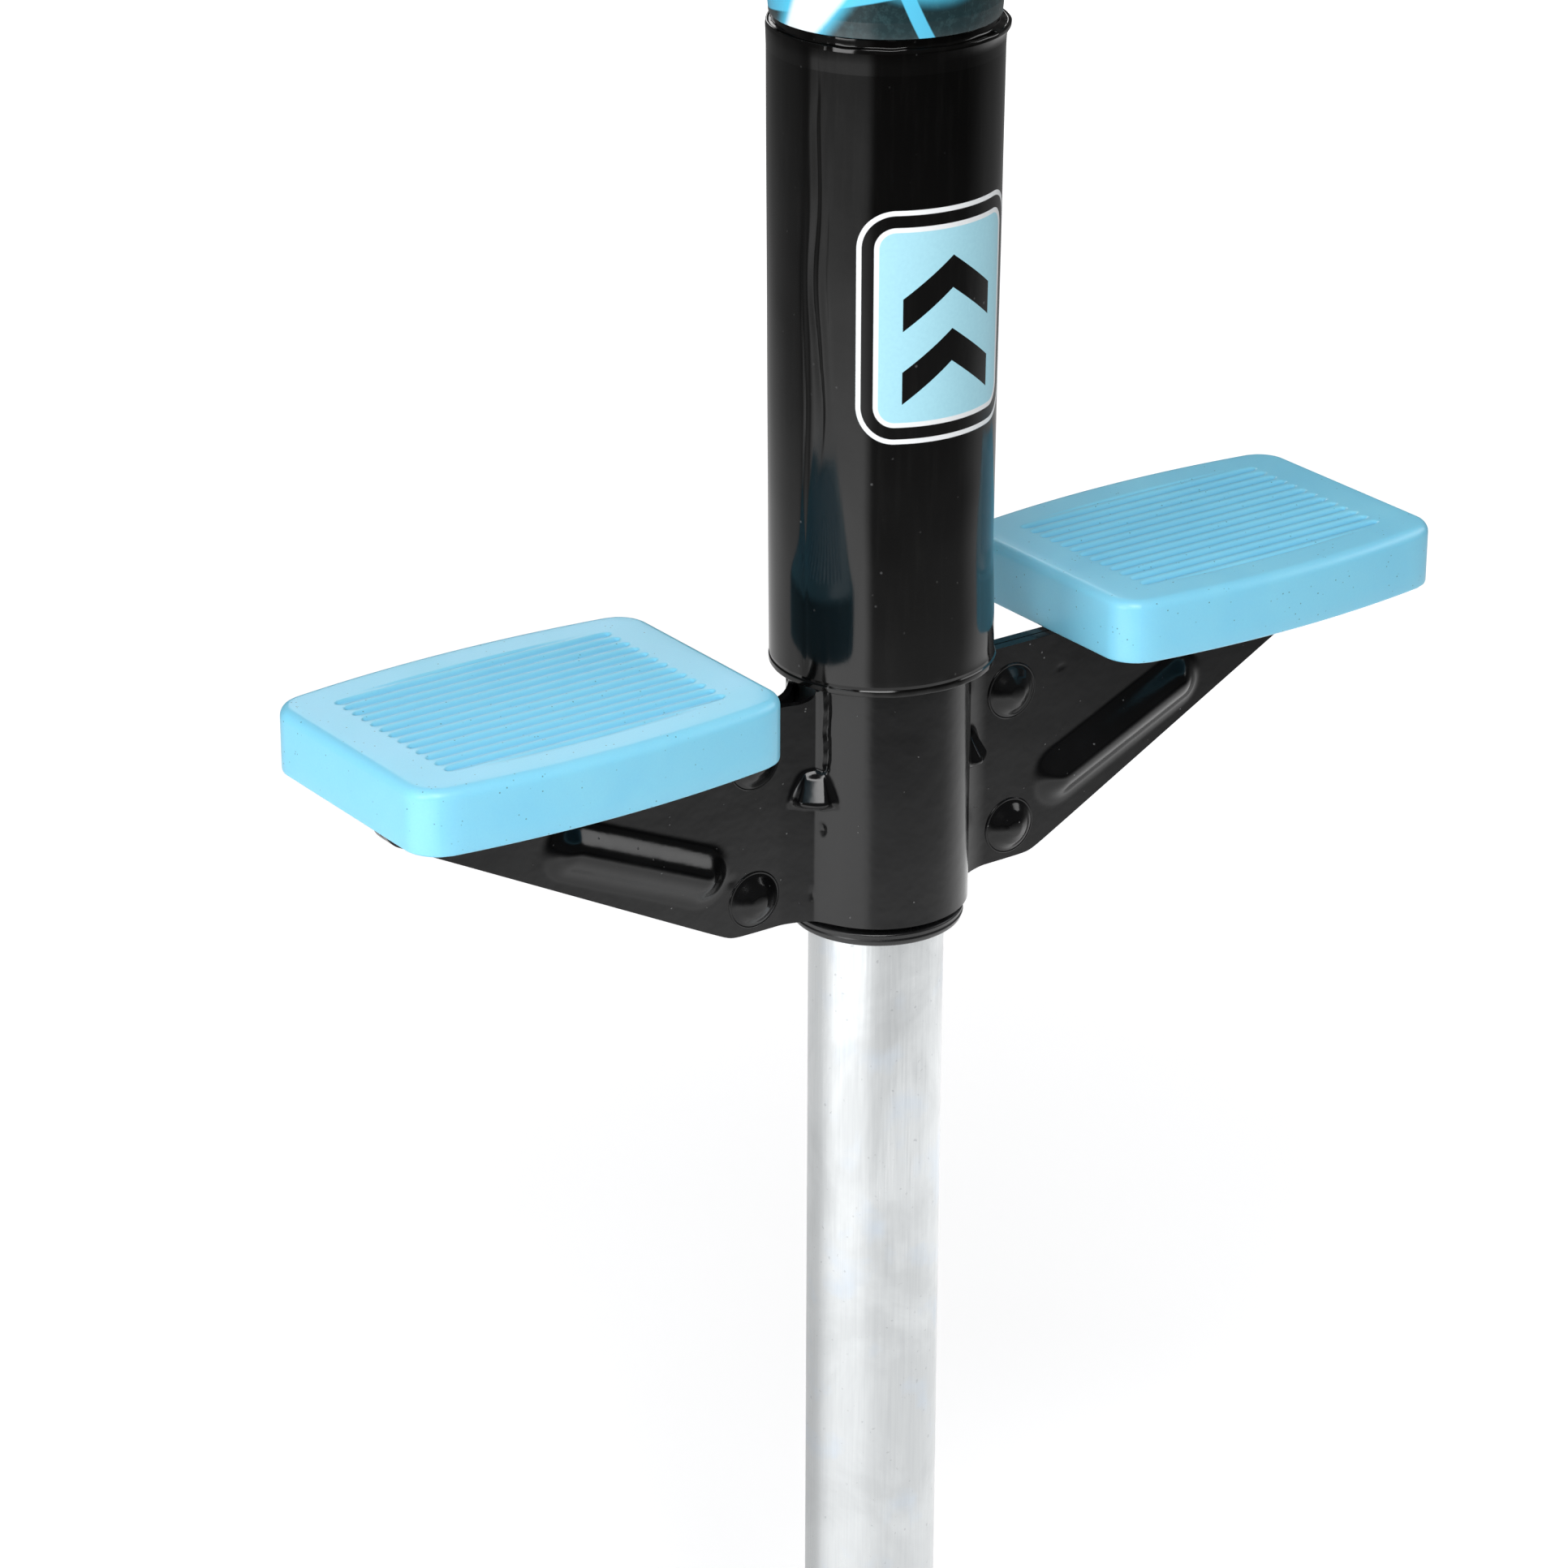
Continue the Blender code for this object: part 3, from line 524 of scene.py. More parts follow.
def badge_shape(nodes):
    """Shares inside each of the badge's rings, and inside its two arrows."""
    x, y, z = nodes.split(1 / MM)
    across = nodes.size(nodes.times(nodes.math("ARCTAN2", x, nodes.times(y, -1.0)), BADGE_R))
    height = nodes.minus(z, BADGE_Z)
    out_x = nodes.math("MAXIMUM", nodes.minus(across, BADGE_HALF_WIDTH - BADGE_CORNER), 0.0)
    out_z = nodes.math("MAXIMUM", nodes.minus(nodes.size(height), BADGE_HALF_HEIGHT - BADGE_CORNER), 0.0)
    squares = nodes.plus(nodes.times(out_x, out_x), nodes.times(out_z, out_z))
    edge = nodes.minus(nodes.math("SQRT", squares), BADGE_CORNER)
    rings = [nodes.map(edge, 0.05 - inset, -0.05 - inset) for inset in BADGE_RINGS]
    slant = nodes.plus(height, nodes.times(across, ARROW_SLOPE))
    bars = []
    for centre in ARROW_CENTRES:
        off = nodes.size(nodes.minus(slant, centre))
        bars.append(nodes.map(off, ARROW_HALF_DEPTH + 0.05, ARROW_HALF_DEPTH - 0.05))
    arrows = nodes.times(nodes.math("MAXIMUM", *bars),
                         nodes.map(across, ARROW_HALF_WIDTH + 0.05, ARROW_HALF_WIDTH - 0.05))
    return rings, nodes.times(arrows, rings[-1])


def black_vinyl():
    """Glossy stretched vinyl with a small printed badge on the front."""
    nodes = Nodes("black_vinyl", ior=1.5, specular_ior_level=BLACK_GLOSS)
    rub, dust = vinyl_wear(nodes)
    (outer, gap, line, field), arrows = badge_shape(nodes)
    print_noise = nodes.noise(1500, 2)
    black = nodes.tint((0.0020, 0.0019, 0.0018), (rub, 0, 1, 0.35, (0.006, 0.0058, 0.0055)),
                       (dust, 0, 1, 0.5, (0.16, 0.16, 0.16)))
    white = nodes.mix(print_noise, (0.84, 0.86, 0.88), (0.90, 0.92, 0.93))
    pale_blue = nodes.mix(print_noise, linear(166, 218, 234), linear(176, 228, 242))
    tone = black
    for share, colour in ((outer, white), (gap, black), (line, white), (field, pale_blue), (arrows, black)):
        tone = nodes.mix(share, tone, colour)
    rough = nodes.plus(nodes.map(rub, 0, 1, 0.10, 0.16), nodes.times(outer, 0.12))
    wave = nodes.noise(45, 2, 0.5, nodes.moved((1, 1, 0.5)))
    nodes.bump((wave, 350), (nodes.noise(600, 2), 3), (outer, 30))
    return nodes.paint(base_color=tone, roughness=rough)


def printed_vinyl():
    """A glossy cover printed with a mottled ground under an angular net of glowing bands."""
    nodes = Nodes("printed_vinyl", ior=1.5)
    rub, dust = vinyl_wear(nodes)
    drift = nodes.moved((1, 1, 0.7), PRINT_SHIFT, PRINT_TILT)
    swell_share = nodes.map(nodes.noise(13, 0), 0.45, 0.62, 0.01, 0.10)
    band = nodes.minus(nodes.cells(19, drift, "DISTANCE_TO_EDGE"), swell_share)
    core = nodes.map(band, 0.012, -0.012, smooth=True)
    glow = nodes.map(band, 0.05, -0.01, smooth=True)
    fine = nodes.cells(31, nodes.moved(shift=(3.1, 1.7, 0.4), where=drift), "DISTANCE_TO_EDGE")
    mottle = nodes.noise(700, 4, 0.7)
    tone = nodes.tint((0.006, 0.012, 0.015), (nodes.noise(40), 0, 1, 1, (0.022, 0.055, 0.062)),
                      (mottle, 0.48, 0.75, 0.35, (0.06, 0.13, 0.14)),
                      (fine, 0.036, 0.030, 1, linear(92, 196, 232)), (glow, 0, 1, 1, linear(88, 205, 240)),
                      (core, 0, 1, 1, (0.86, 0.92, 0.94)), (dust, 0, 1, 0.4, (0.3, 0.3, 0.3)))
    nodes.bump((nodes.noise(60, 2), 200), (mottle, 4))
    return nodes.paint(base_color=tone, roughness=nodes.map(rub, 0, 1, 0.20, 0.30))


def painted_groove_shade(nodes):
    """Share of painted shade in the tread: 1 at the bottom of a groove and 0 on the ribs' tops."""
    x, y, z = nodes.split(1 / MM)
    off = nodes.size(nodes.minus(nodes.size(x), pedal_x))
    along = nodes.map(off, TREAD_HALF_LENGTH + 1, TREAD_HALF_LENGTH)
    across = nodes.map(nodes.size(y), TREAD_HALF_WIDTH + 3, TREAD_HALF_WIDTH + 2)
    deep = nodes.map(z, pedal_top - 0.1, pedal_top - RIB_DEPTH)
    return nodes.times(deep, nodes.times(along, across))


def blue_plastic():
    """Waxy moulded plastic: soft light within, faint flow marks, fine grain, dark specks and painted shade in
    the tread's grooves.
    """
    nodes = Nodes("sky_blue_plastic", ior=1.46, subsurface_weight=0.18,
                  subsurface_radius=(0.4, 0.9, 1.0), subsurface_scale=0.0011)
    flow = nodes.noise(45, 4, 0.55, distortion=0.8)
    grain = nodes.noise(2600, 2)
    specks = nodes.specks(800, (0.15, 0.08), 230, 0.52, 0.58, detail=2)
    tone = nodes.tint(linear(134, 213, 243), (flow, 0.3, 0.7, 1, linear(142, 219, 245)),
                      (grain, 0.35, 0.65, 0.14, linear(122, 202, 238)),
                      # painted shade: the grooves between the ribs are tinted darker and bluer than the ribs'
                      # tops
                      (painted_groove_shade(nodes), 0, 1, 0.42, linear(74, 176, 226)),
                      (specks, 0, 1, 0.75, linear(58, 104, 122)))
    nodes.bump((flow, 80), (grain, 4))
    return nodes.paint(base_color=tone, roughness=nodes.map(flow, 0.3, 0.7, 0.29, 0.37))


def black_plastic():
    """Moulded nylon or polythene with a fine spark-eroded grain and a slight bloom."""
    nodes = Nodes("black_plastic", ior=1.5)
    grain = nodes.noise(1800, 3, 0.6)
    bloom = nodes.noise(70)
    tone = nodes.tint((0.008, 0.008, 0.0085), (bloom, 0.4, 0.7, 1, (0.017, 0.017, 0.018)),
                      (grain, 0.62, 0.72, 0.3, (0.04, 0.04, 0.042)))
    nodes.bump((grain, 12), (bloom, 50))
    return nodes.paint(base_color=tone, roughness=nodes.map(bloom, 0.35, 0.7, 0.26, 0.38))


def foam(name, dark, light, cell):
    """Closed-cell foam: open pores of two sizes and a dull, slightly velvety skin."""
    nodes = Nodes(name, sheen_weight=0.25, sheen_roughness=0.6, ior=1.4)
    patch = nodes.noise(55, 4, 0.6)
    small = nodes.map(nodes.cells(2.7 / cell), 0.1, 0.6, 0, 0.5)
    depth = nodes.plus(nodes.map(nodes.cells(1 / cell), 0.1, 0.6), small)
    worn = tuple(1.5 * value for value in light)
    tone = nodes.tint(dark, (depth, 0.2, 1.3, 1, light), (patch, 0.45, 0.75, 0.4, worn))
    nodes.bump((depth, 120), (patch, 300))
    return nodes.paint(base_color=tone, roughness=nodes.map(patch, 0.3, 0.7, 0.78, 0.92))


def black_rubber():
    """Moulded rubber with a fine matt skin, pale dust and scuffed high spots."""
    nodes = Nodes("black_rubber", sheen_weight=0.1, ior=1.5)
    skin = nodes.noise(900, 4, 0.6)
    dust = nodes.noise(60, 5, 0.65, distortion=0.4)
    tone = nodes.tint((0.014, 0.014, 0.0145), (dust, 0.45, 0.75, 1, (0.045, 0.044, 0.042)),
                      (skin, 0.6, 0.75, 0.35, (0.07, 0.07, 0.068)))
    nodes.bump((skin, 30), (dust, 120))
    return nodes.paint(base_color=tone, roughness=nodes.map(dust, 0.4, 0.7, 0.55, 0.78))


def nylon():
    """Milky guide nylon with faint flow lines and grease marks."""
    nodes = Nodes("white_nylon", subsurface_weight=0.3, subsurface_scale=0.002, ior=1.53)
    flow = nodes.noise(60, 4, 0.5, distortion=0.7)
    grease = nodes.map(nodes.noise(35), 0.52, 0.66, 0, 0.5)
    tone = nodes.tint((0.70, 0.70, 0.64), (flow, 0, 1, 1, (0.80, 0.80, 0.76)),
                      (grease, 0, 1, 1, (0.42, 0.40, 0.34)))
    nodes.bump((flow, 50), (nodes.noise(1500, 2), 6))
    return nodes.paint(base_color=tone, roughness=nodes.map(grease, 0, 0.5, 0.42, 0.22))


def spring_steel():
    """Oil-tempered wire: blue-brown mill skin, drawing lines and an oil film."""
    nodes = Nodes("spring_steel", metallic=1.0)
    skin = nodes.noise(80, 5, 0.6)
    lines = nodes.noise(260, 3, 0.6, nodes.moved((1, 1, 6)))
    tone = nodes.tint((0.20, 0.20, 0.215), (skin, 0.35, 0.7, 1, (0.30, 0.275, 0.25)),
                      (lines, 0.5, 0.8, 0.3, (0.42, 0.42, 0.43)))
    nodes.bump((lines, 10), (skin, 40))
    return nodes.paint(base_color=tone, roughness=nodes.map(skin, 0.3, 0.7, 0.26, 0.44))


def weld_metal():
    """Weld bead under zinc paint: dull, with rippled heat tint."""
    nodes = Nodes("weld_metal", metallic=0.85)
    grit = nodes.noise(500, 4, 0.65)
    tone = nodes.tint((0.50, 0.51, 0.53), (nodes.noise(120), 0.4, 0.65, 1, (0.38, 0.36, 0.35)))
    nodes.bump((grit, 60))
    return nodes.paint(base_color=tone, roughness=nodes.map(grit, 0.3, 0.7, 0.38, 0.55))


zinc_upright = galvanised("galvanised_upright", (40, 40, 1))
zinc_level = galvanised("galvanised_level", (1, 40, 40))
zinc_small = galvanised("galvanised_small", (40, 40, 1), 0.34)
dip = black_dip()
vinyl = black_vinyl()
print_skin = printed_vinyl()
blue = blue_plastic()
plastic = black_plastic()
grip_foam = foam("black_foam", (0.010, 0.010, 0.010), (0.030, 0.030, 0.031), 0.9 * MM)
core_foam = foam("grey_foam", (0.05, 0.05, 0.052), (0.12, 0.12, 0.122), 1.4 * MM)
tip_rubber = black_rubber()


# ---- foot bracket -----------------------------------------------------------------------
def half_section():
    """The front half's outer face from above, from the collar's front to one wing's end."""
    arc_end = Vector((math.cos(ARC_TURN), math.sin(ARC_TURN))) * COLLAR_R
    run = (CREASE_Y - arc_end.y) / math.cos(ARC_TURN)
    near_turn = math.radians(-45)
    columns = []
    for angle in spaced(-QUARTER, near_turn, 16) + spaced(near_turn, ARC_TURN, 20):
        columns.append(Column(COLLAR_R * math.cos(angle), COLLAR_R * math.sin(angle),
                              COLLAR_R * (angle - ARC_TURN) - run, COLLAR_SHEET))
    for reach in spaced(0.0, run, 22):
        columns.append(Column(arc_end.x - reach * math.sin(ARC_TURN), arc_end.y + reach * math.cos(ARC_TURN),
                              reach - run, COLLAR_SHEET))
    places = spaced(crease_x, DISH_X, 26) + spaced(DISH_X, 36, 18) + spaced(36, 77, 58)
    places += spaced(77, tip_start_x, 18)
    places += [tip_centre_x + WING_TIP_R * math.cos(angle) for angle in spaced(tip_turn, -0.12, 7)]
    for x in places + [WING_TIP_X - 0.02]:
        lean = max(0.0, (DISH_X - x) / (DISH_X - crease_x)) ** 1.6
        columns.append(Column(x, between(-WING_FACE, CREASE_Y, lean), x - crease_x,
                              between(WING_SHEET, COLLAR_SHEET, lean)))
    return columns


def lower_edge(x):
    """Level of the bracket's lower edge: flat by the collar, then rising to the wing's round tip."""
    if x > tip_start_x:
        return WING_TIP_LEVEL - math.sqrt(max(0.0, WING_TIP_R ** 2 - (x - tip_centre_x) ** 2))

    def softened(over):
        return over + math.hypot(over, WING_CORNER_BEND)

    end = WING_TIP_LEVEL + WING_TIP_R * math.sin(tip_turn)
    return between(collar_foot, end, softened(x - WING_CORNER_X) / softened(tip_start_x - WING_CORNER_X))


def upper_edge(x, along, collar_rises):
    """Level of the bracket's upper edge: flat on the wings, with a swept rise at the crease."""
    if x >= FILLET_X:
        return WING_TOP
    reach = min(1.0, (FILLET_X - x) / (FILLET_X - crease_x))
    swept_top = WING_TOP + FILLET_RISE * (1 - math.sqrt(max(0.0, 1 - reach ** 2.2)))
    if along >= 0:
        return swept_top
    top, run = (collar_head, 5) if collar_rises else (WING_TOP, 3)
    return between(swept_top, top, smoothstep(0.3, run, -along))


def bead_height(x, level):
    """How far the pressed rib stands out of the wing at this place."""
    start, end = (Vector(point) for point in BEAD)
    here = Vector((x, level))
    run = end - start
    share = min(1.0, max(0.0, (here - start).dot(run) / run.length_squared))
    off = min(1.0, (here - start - run * share).length / BEAD_HALF_WIDTH)
    return BEAD_HEIGHT * math.cos(QUARTER * off) ** 2


def paint_marks(side, along, level):
    """The run of paint and the small pits beside the creases, out of the surface."""
    mark = 0.0
    if side == "left":
        sway = 0.12 * math.sin(level / 1.3) + 0.09 * math.sin(level / 0.47 + 1)
        off = abs(along - DRIP_ALONG + sway) / DRIP_HALF_WIDTH
        mark -= DRIP_HEIGHT * smoothstep(-27, -25, level) * max(0.0, 1 - off)
    for pit_along, pit_level, radius, depth in PITS[side]:
        off = math.hypot(along - pit_along, level - pit_level)
        mark -= depth * math.exp(-(off / radius) ** 2)
    return mark


def section_point(columns, along):
    """The place on the section at a distance along it from the crease."""
    for near, far in zip(columns, columns[1:]):
        if near.along <= along <= far.along:
            share = (along - near.along) / (far.along - near.along)
            return Vector((between(near.x, far.x, share), between(near.y, far.y, share)))
    raise ValueError("the place is off the section")


def folded(columns, column, level):
    """The section's place, with the crease filled in softly and more so below the dart."""
    reach = between(*FOLD_R, smoothstep(DART_FOOT + 2, DART_FOOT - 3, level))
    if abs(column.along) >= reach:
        return Vector((column.x, column.y))
    share = 0.5 + column.along / (2 * reach)
    start, corner, end = (section_point(columns, along) for along in (-reach, 0.0, reach))
    return start.lerp(corner, share).lerp(corner.lerp(end, share), share)


def darted(columns, column, level):
    """The folded section's place, pushed out where the dart stands across the crease."""
    spot = folded(columns, column, level)
    foot = DART_FOOT + 0.5 * min(1.0, (column.along / 3.4) ** 2)
    drop = (DART_APEX - level) / (DART_APEX - foot)
    down = min(1.0, drop)
    if not 0 < drop < 1.25 or abs(column.along) >= between(*DART_HALO, down ** 0.6):
        return spot
    half = between(*DART_FACE, down ** 0.8)
    left = section_point(columns, -half)
    right = section_point(columns, half)
    outward = Vector(((right - left).y, -(right - left).x)).normalized()
    off = abs(column.along) / between(*DART_HALO, down ** 0.6)
    share = 0.5 + max(-1.2, min(1.2, column.along / half)) / 2
    flat = left.lerp(right, share) + outward * (DART_PUSH * min(1.0, 1.2 * down) * (1 - 0.3 * off * off))
    lift = smoothstep(0.0, 0.3, drop) * (1 - smoothstep(0.9, 1.2, drop)) * (1 - smoothstep(0.4, 1.0, off))
    return spot.lerp(flat, lift)


def row_levels(bottom, top, x):
    """Levels of a column's points: close together where the dart is, wider elsewhere."""
    spread = smoothstep(24, 60, x)
    low = between(-35.5, between(bottom, top, 0.42), spread)
    high = between(-25.0, between(bottom, top, 0.78), spread)
    return spaced(bottom, low, 28) + spaced(low, high, 36) + spaced(high, top, 20) + [top]


def bracket_face(side, columns, collar_rises):
    """For each column of one side of the front half, its points from bottom to top."""
    lines = []
    for column in columns:
        line = []
        top = upper_edge(column.x, column.along, collar_rises)
        on_wing = column.along > 0
        for level in row_levels(lower_edge(column.x), top, column.x):
            away = Vector((0, -1)) if on_wing else Vector((column.x, column.y)).normalized()
            out = bead_height(column.x, level) if on_wing else 0.0
            spot = darted(columns, column, level) + away * (out + paint_marks(side, column.along, level))
            line.append(Vector((spot.x, spot.y, pedal_top + level)))
        lines.append(line)
    return lines


def flange_rows(x, top):
    """The tab above a wing: straight up, round the bend, and out level under the pedal."""
    under = pedal_top + FLANGE_TOP - WING_SHEET
    bend_z = under - FLANGE_BEND
    start_y = -WING_FACE - FLANGE_BEND
    rows = [Vector((x, -WING_FACE, between(top, bend_z, share))) for share in (0.35, 0.7, 1.0)]
    for step in range(1, 7):
        angle = QUARTER * step / 6
        rows.append(Vector((x, start_y + FLANGE_BEND * math.cos(angle),
                            bend_z + FLANGE_BEND * math.sin(angle))))
    for share in (0.2, 0.45, 0.7, 0.9, 1.0):
        rows.append(Vector((x, between(start_y, FLANGE_EDGE_Y, share), under)))
    return rows


def sheet_grid(mirror):
    """The outer face's points, the sheet's thickness at each, and the point numbers by column."""
    columns = half_section()
    right, left = ("right", "left") if mirror > 0 else ("left", "right")
    lines = [[Vector((-p.x, p.y, p.z)) for p in line] for line in bracket_face(left, columns, mirror > 0)]
    lines = lines[:0:-1] + bracket_face(right, columns, mirror > 0)
    sheets = [column.sheet for column in columns[:0:-1] + columns]
    points = []
    thickness = []
    grid = []
    for line, sheet in zip(lines, sheets):
        rows = list(line)
        if FLANGE_X[0] <= abs(line[-1].x) <= FLANGE_X[1]:
            rows += flange_rows(line[-1].x, line[-1].z)
        grid.append(list(range(len(points), len(points) + len(rows))))
        points += rows
        thickness += [sheet] * len(rows)
    return points, thickness, grid


def make_bracket_half(name, mirror):
    """One pressed half: wings with ribs and darts, half the collar, and the flanges."""
    points, thickness, grid = sheet_grid(mirror)
    faces = []
    for near, far in zip(grid, grid[1:]):
        for row in range(min(len(near), len(far)) - 1):
            faces.append((near[row], far[row], far[row + 1], near[row + 1]))
    outer = bpy.data.meshes.new(name)
    outer.from_pydata(points, [], faces)
    outer.update()
    inner = []
    for point, vert, sheet in zip(points, outer.vertices, thickness):
        moved = point - vert.normal * sheet
        inner.append(Vector((moved.x, min(moved.y, -0.12), moved.z)))
    count = len(points)
    sides = [side for face in faces for side in zip(face, face[1:] + face[:1])]
    used = Counter(frozenset(side) for side in sides)
    rims = [side for side in sides if used[frozenset(side)] == 1]
    solid = faces + [tuple(number + count for number in reversed(face)) for face in faces]
    solid += [(end, start, start + count, end + count) for start, end in rims]
    piece = finished(name, [Vector((p.x, p.y * mirror, p.z)) for p in points + inner], solid, 50)
    weights = piece.data.attributes.new("bevel_weight_edge", "FLOAT", "EDGE")
    rim_edges = {frozenset((start + shift, end + shift)) for start, end in rims for shift in (0, count)}
    for edge in piece.data.edges:
        weights.data[edge.index].value = float(frozenset(edge.vertices) in rim_edges)
    edge_round = piece.modifiers.new("rounded rim", "BEVEL")
    edge_round.width = 0.3 * MM
    edge_round.segments = 3
    edge_round.limit_method = "WEIGHT"
    return piece


def make_brackets():
    for name, mirror in (("front", 1), ("rear", -1)):
        piece = make_bracket_half(f"bracket_{name}_pressing", mirror)
        settle(piece, "frame", "black_dip_paint", dip, f"bracket_{name}")


def make_rivets():
    """Domed heads on a thin collar of paint, front and rear, joined by the shank."""
    front = [(radius, WING_FACE + height) for radius, height in rounded(RIVET_HEAD, 6)]
    profile = front + [(radius, -height) for radius, height in reversed(front)]
    for side in SIDES:
        for level in ("lower", "upper"):
            node = f"rivet_{side}_{level}"
            middle = box_of(node).middle
            piece = lathe(f"{node}_head", profile, 48, closed=False, sharp=60)
            place(piece, (middle.x, 0, middle.z), QUARTER, "X")
            settle(piece, "frame", "black_dip_paint", dip, node)


# ---- pedals -----------------------------------------------------------------------------
def lengthways_shares():
    """Places along a pedal from -1 to 1, close together at the ribs' ends."""
    half = spaced(0.0, END_SHARE, 14) + spaced(END_SHARE, 1.0, 12) + [1.0]
    return [-share for share in reversed(half[1:])] + half


def swell(x, y, half_length):
    """Widens a straight-sided outline towards the pedal's middle."""
    return y * (1 + PEDAL_BULGE * max(0.0, 1 - (x / half_length) ** 2))


def side_point(share, long_half, short_half, corner):
    """A point on one side of a rounded rectangle, from one corner's middle to the next's."""
    reach = abs(share)
    sign = 1 if share >= 0 else -1
    if reach <= SIDE_STRAIGHT:
        return sign * reach / SIDE_STRAIGHT * (long_half - corner), -short_half
    angle = (reach - SIDE_STRAIGHT) / (1 - SIDE_STRAIGHT) * math.pi / 4
    return (sign * (long_half - corner + corner * math.sin(angle)),
            -short_half + corner * (1 - math.cos(angle)))


def across_shares():
    return spaced(-1.0, 1.0, PEDAL_ACROSS) + [1.0]


def pedal_loop(inset, half_length, half_width):
    """The pedal's outline in from its edge, with as many points as the tread's border."""
    corner = max(PEDAL_CORNER - inset, 1.2)
    halves = (half_length - inset, half_width - inset)
    loop = []
    for quarter in range(4):
        shares = across_shares() if quarter % 2 else lengthways_shares()
        for share in shares[:-1]:
            x, y = side_point(share, *(reversed(halves) if quarter % 2 else halves), corner)
            for _ in range(quarter):
                x, y = -y, x
            loop.append((x, swell(x, y, half_length)))
    return loop


def tread_depth(x, y, half_length):
    """Depth of the grooves between the straight ribs, inside the tread's bowed border."""
    border = swell(x, TREAD_HALF_WIDTH, half_length)
    ribbed = RIB_PITCH * RIB_COUNT / 2
    groove = 0.5 + 0.5 * math.cos(math.tau * y / RIB_PITCH) if abs(y) < ribbed else 0.0
    end = TREAD_HALF_LENGTH - 1.3 * (1 - groove)
    inside_x = 1 - smoothstep(end - 1.0, end, abs(x))
    inside_y = 1 - smoothstep(border - 0.7, border + 0.1, abs(y))
    return RIB_DEPTH * groove * inside_x * inside_y


def pedal_levels(height):
    """(inset, depth) of each ring from the top's edge down the side and up inside to the ceiling."""
    levels = [(PEDAL_EDGE, 0)]
    for step in range(1, 9):
        angle = QUARTER * step / 8
        levels.append((PEDAL_EDGE * (1 - math.sin(angle)), -PEDAL_EDGE * (1 - math.cos(angle))))
    levels += [(0, -height * 0.45), (0, -height * 0.7)]
    levels += [(PEDAL_FOOT * (1 - math.cos(angle)), -height + PEDAL_FOOT * (1 - math.sin(angle)))
               for angle in (0, 0.5, 1.05, QUARTER)]
    levels += [(PEDAL_WALL - 0.4, -height), (PEDAL_WALL - 0.1, -height + 0.1), (PEDAL_WALL, -height + 0.4)]
    levels += [(PEDAL_WALL, -PEDAL_CEILING - 1.2), (PEDAL_WALL + 0.35, -PEDAL_CEILING - 0.35),
               (PEDAL_WALL + 1.2, -PEDAL_CEILING)]
    return levels


def make_pedal(side):
    """A hollow cap with a ribbed tread, closed by rings of points from the tread to its inside."""
    node = f"pedal_{side}"
    box = box_of(node)
    half_length = box.size.x / 2
    half_width = box.size.y / 2 / (1 + PEDAL_BULGE)
    points = []
    grid = []
    for share in lengthways_shares():
        x = (TREAD_HALF_LENGTH + TREAD_MARGIN[0]) * share
        grid.append(list(range(len(points), len(points) + PEDAL_ACROSS + 1)))
        for across in across_shares():
            y = swell(x, (TREAD_HALF_WIDTH + TREAD_MARGIN[1]) * across, half_length)
            points.append((x, y, -tread_depth(x, y, half_length)))
    faces = []
    for near, far in zip(grid, grid[1:]):
        for j in range(PEDAL_ACROSS):
            faces.append((near[j], far[j], far[j + 1], near[j + 1]))
    border = [row[0] for row in grid[:-1]] + grid[-1][:-1]
    border += [row[-1] for row in grid[:0:-1]] + grid[0][:0:-1]
    rings = [border]

    def add_ring(ring):
        rings.append(list(range(len(points), len(points) + len(ring))))
        points.extend(ring)

    shoulder = pedal_loop(PEDAL_EDGE, half_length, half_width)
    for share in (0.33, 0.66):
        add_ring([(between(points[number][0], x, share), between(points[number][1], y, share), 0)
                  for number, (x, y) in zip(border, shoulder)])
    for inset, depth in pedal_levels(box.size.z):
        add_ring([(x, y, depth) for x, y in pedal_loop(inset, half_length, half_width)])
    for outer, inner in zip(rings, rings[1:]):
        faces += bridge(outer, inner)
    faces.append(rings[-1])
    piece = finished(f"{node}_moulding", points, faces, 55)
    place(piece, (box.middle.x, box.middle.y, box.high.z))
    settle(piece, "frame", "sky_blue_plastic", blue, node)


def make_pedal_screw(node):
    """A pan head with a cross recess, screwed up through the flange."""
    low, high, size, middle = box_of(node)
    seat = low.z + SCREW_HEAD
    head_r = size.x / 2
    corners = [(0, high.z, 0), (0.5, high.z, 0), (SCREW_SHANK_R, high.z - 1.6, 0.2)]
    for turn in range(SCREW_TURNS):
        z = high.z - 1.8 - turn * SCREW_PITCH
        if z - SCREW_PITCH > seat:
            corners += [(SCREW_SHANK_R, z, 0), (SCREW_SHANK_R - 0.3, z - 0.3, 0)]
    corners += [(SCREW_SHANK_R, seat, 0), (head_r, seat, 0.15), (head_r, seat - 1.1, 0.6),
                (head_r * 0.72, low.z + 0.25, 1.2), (0.9, low.z, 0.4), (0.7, low.z + 0.9, 0.2),
                (0, low.z + 1.1, 0)]

    def recess(angle, reach, z):
        if z >= low.z + 0.5 or not 0.5 < reach < 2.2:
            return 0.0
        return 0.8 * smoothstep(0.80, 0.97, abs(math.cos(2 * angle))) * (1 - reach / 2.6)

    piece = lathe(f"{node}_steel", rounded(corners, 3), 32, lift=recess, closed=False, sharp=45)
    place(piece, (middle.x, middle.y, 0))
    settle(piece, "frame", "galvanised_steel", zinc_small, node)


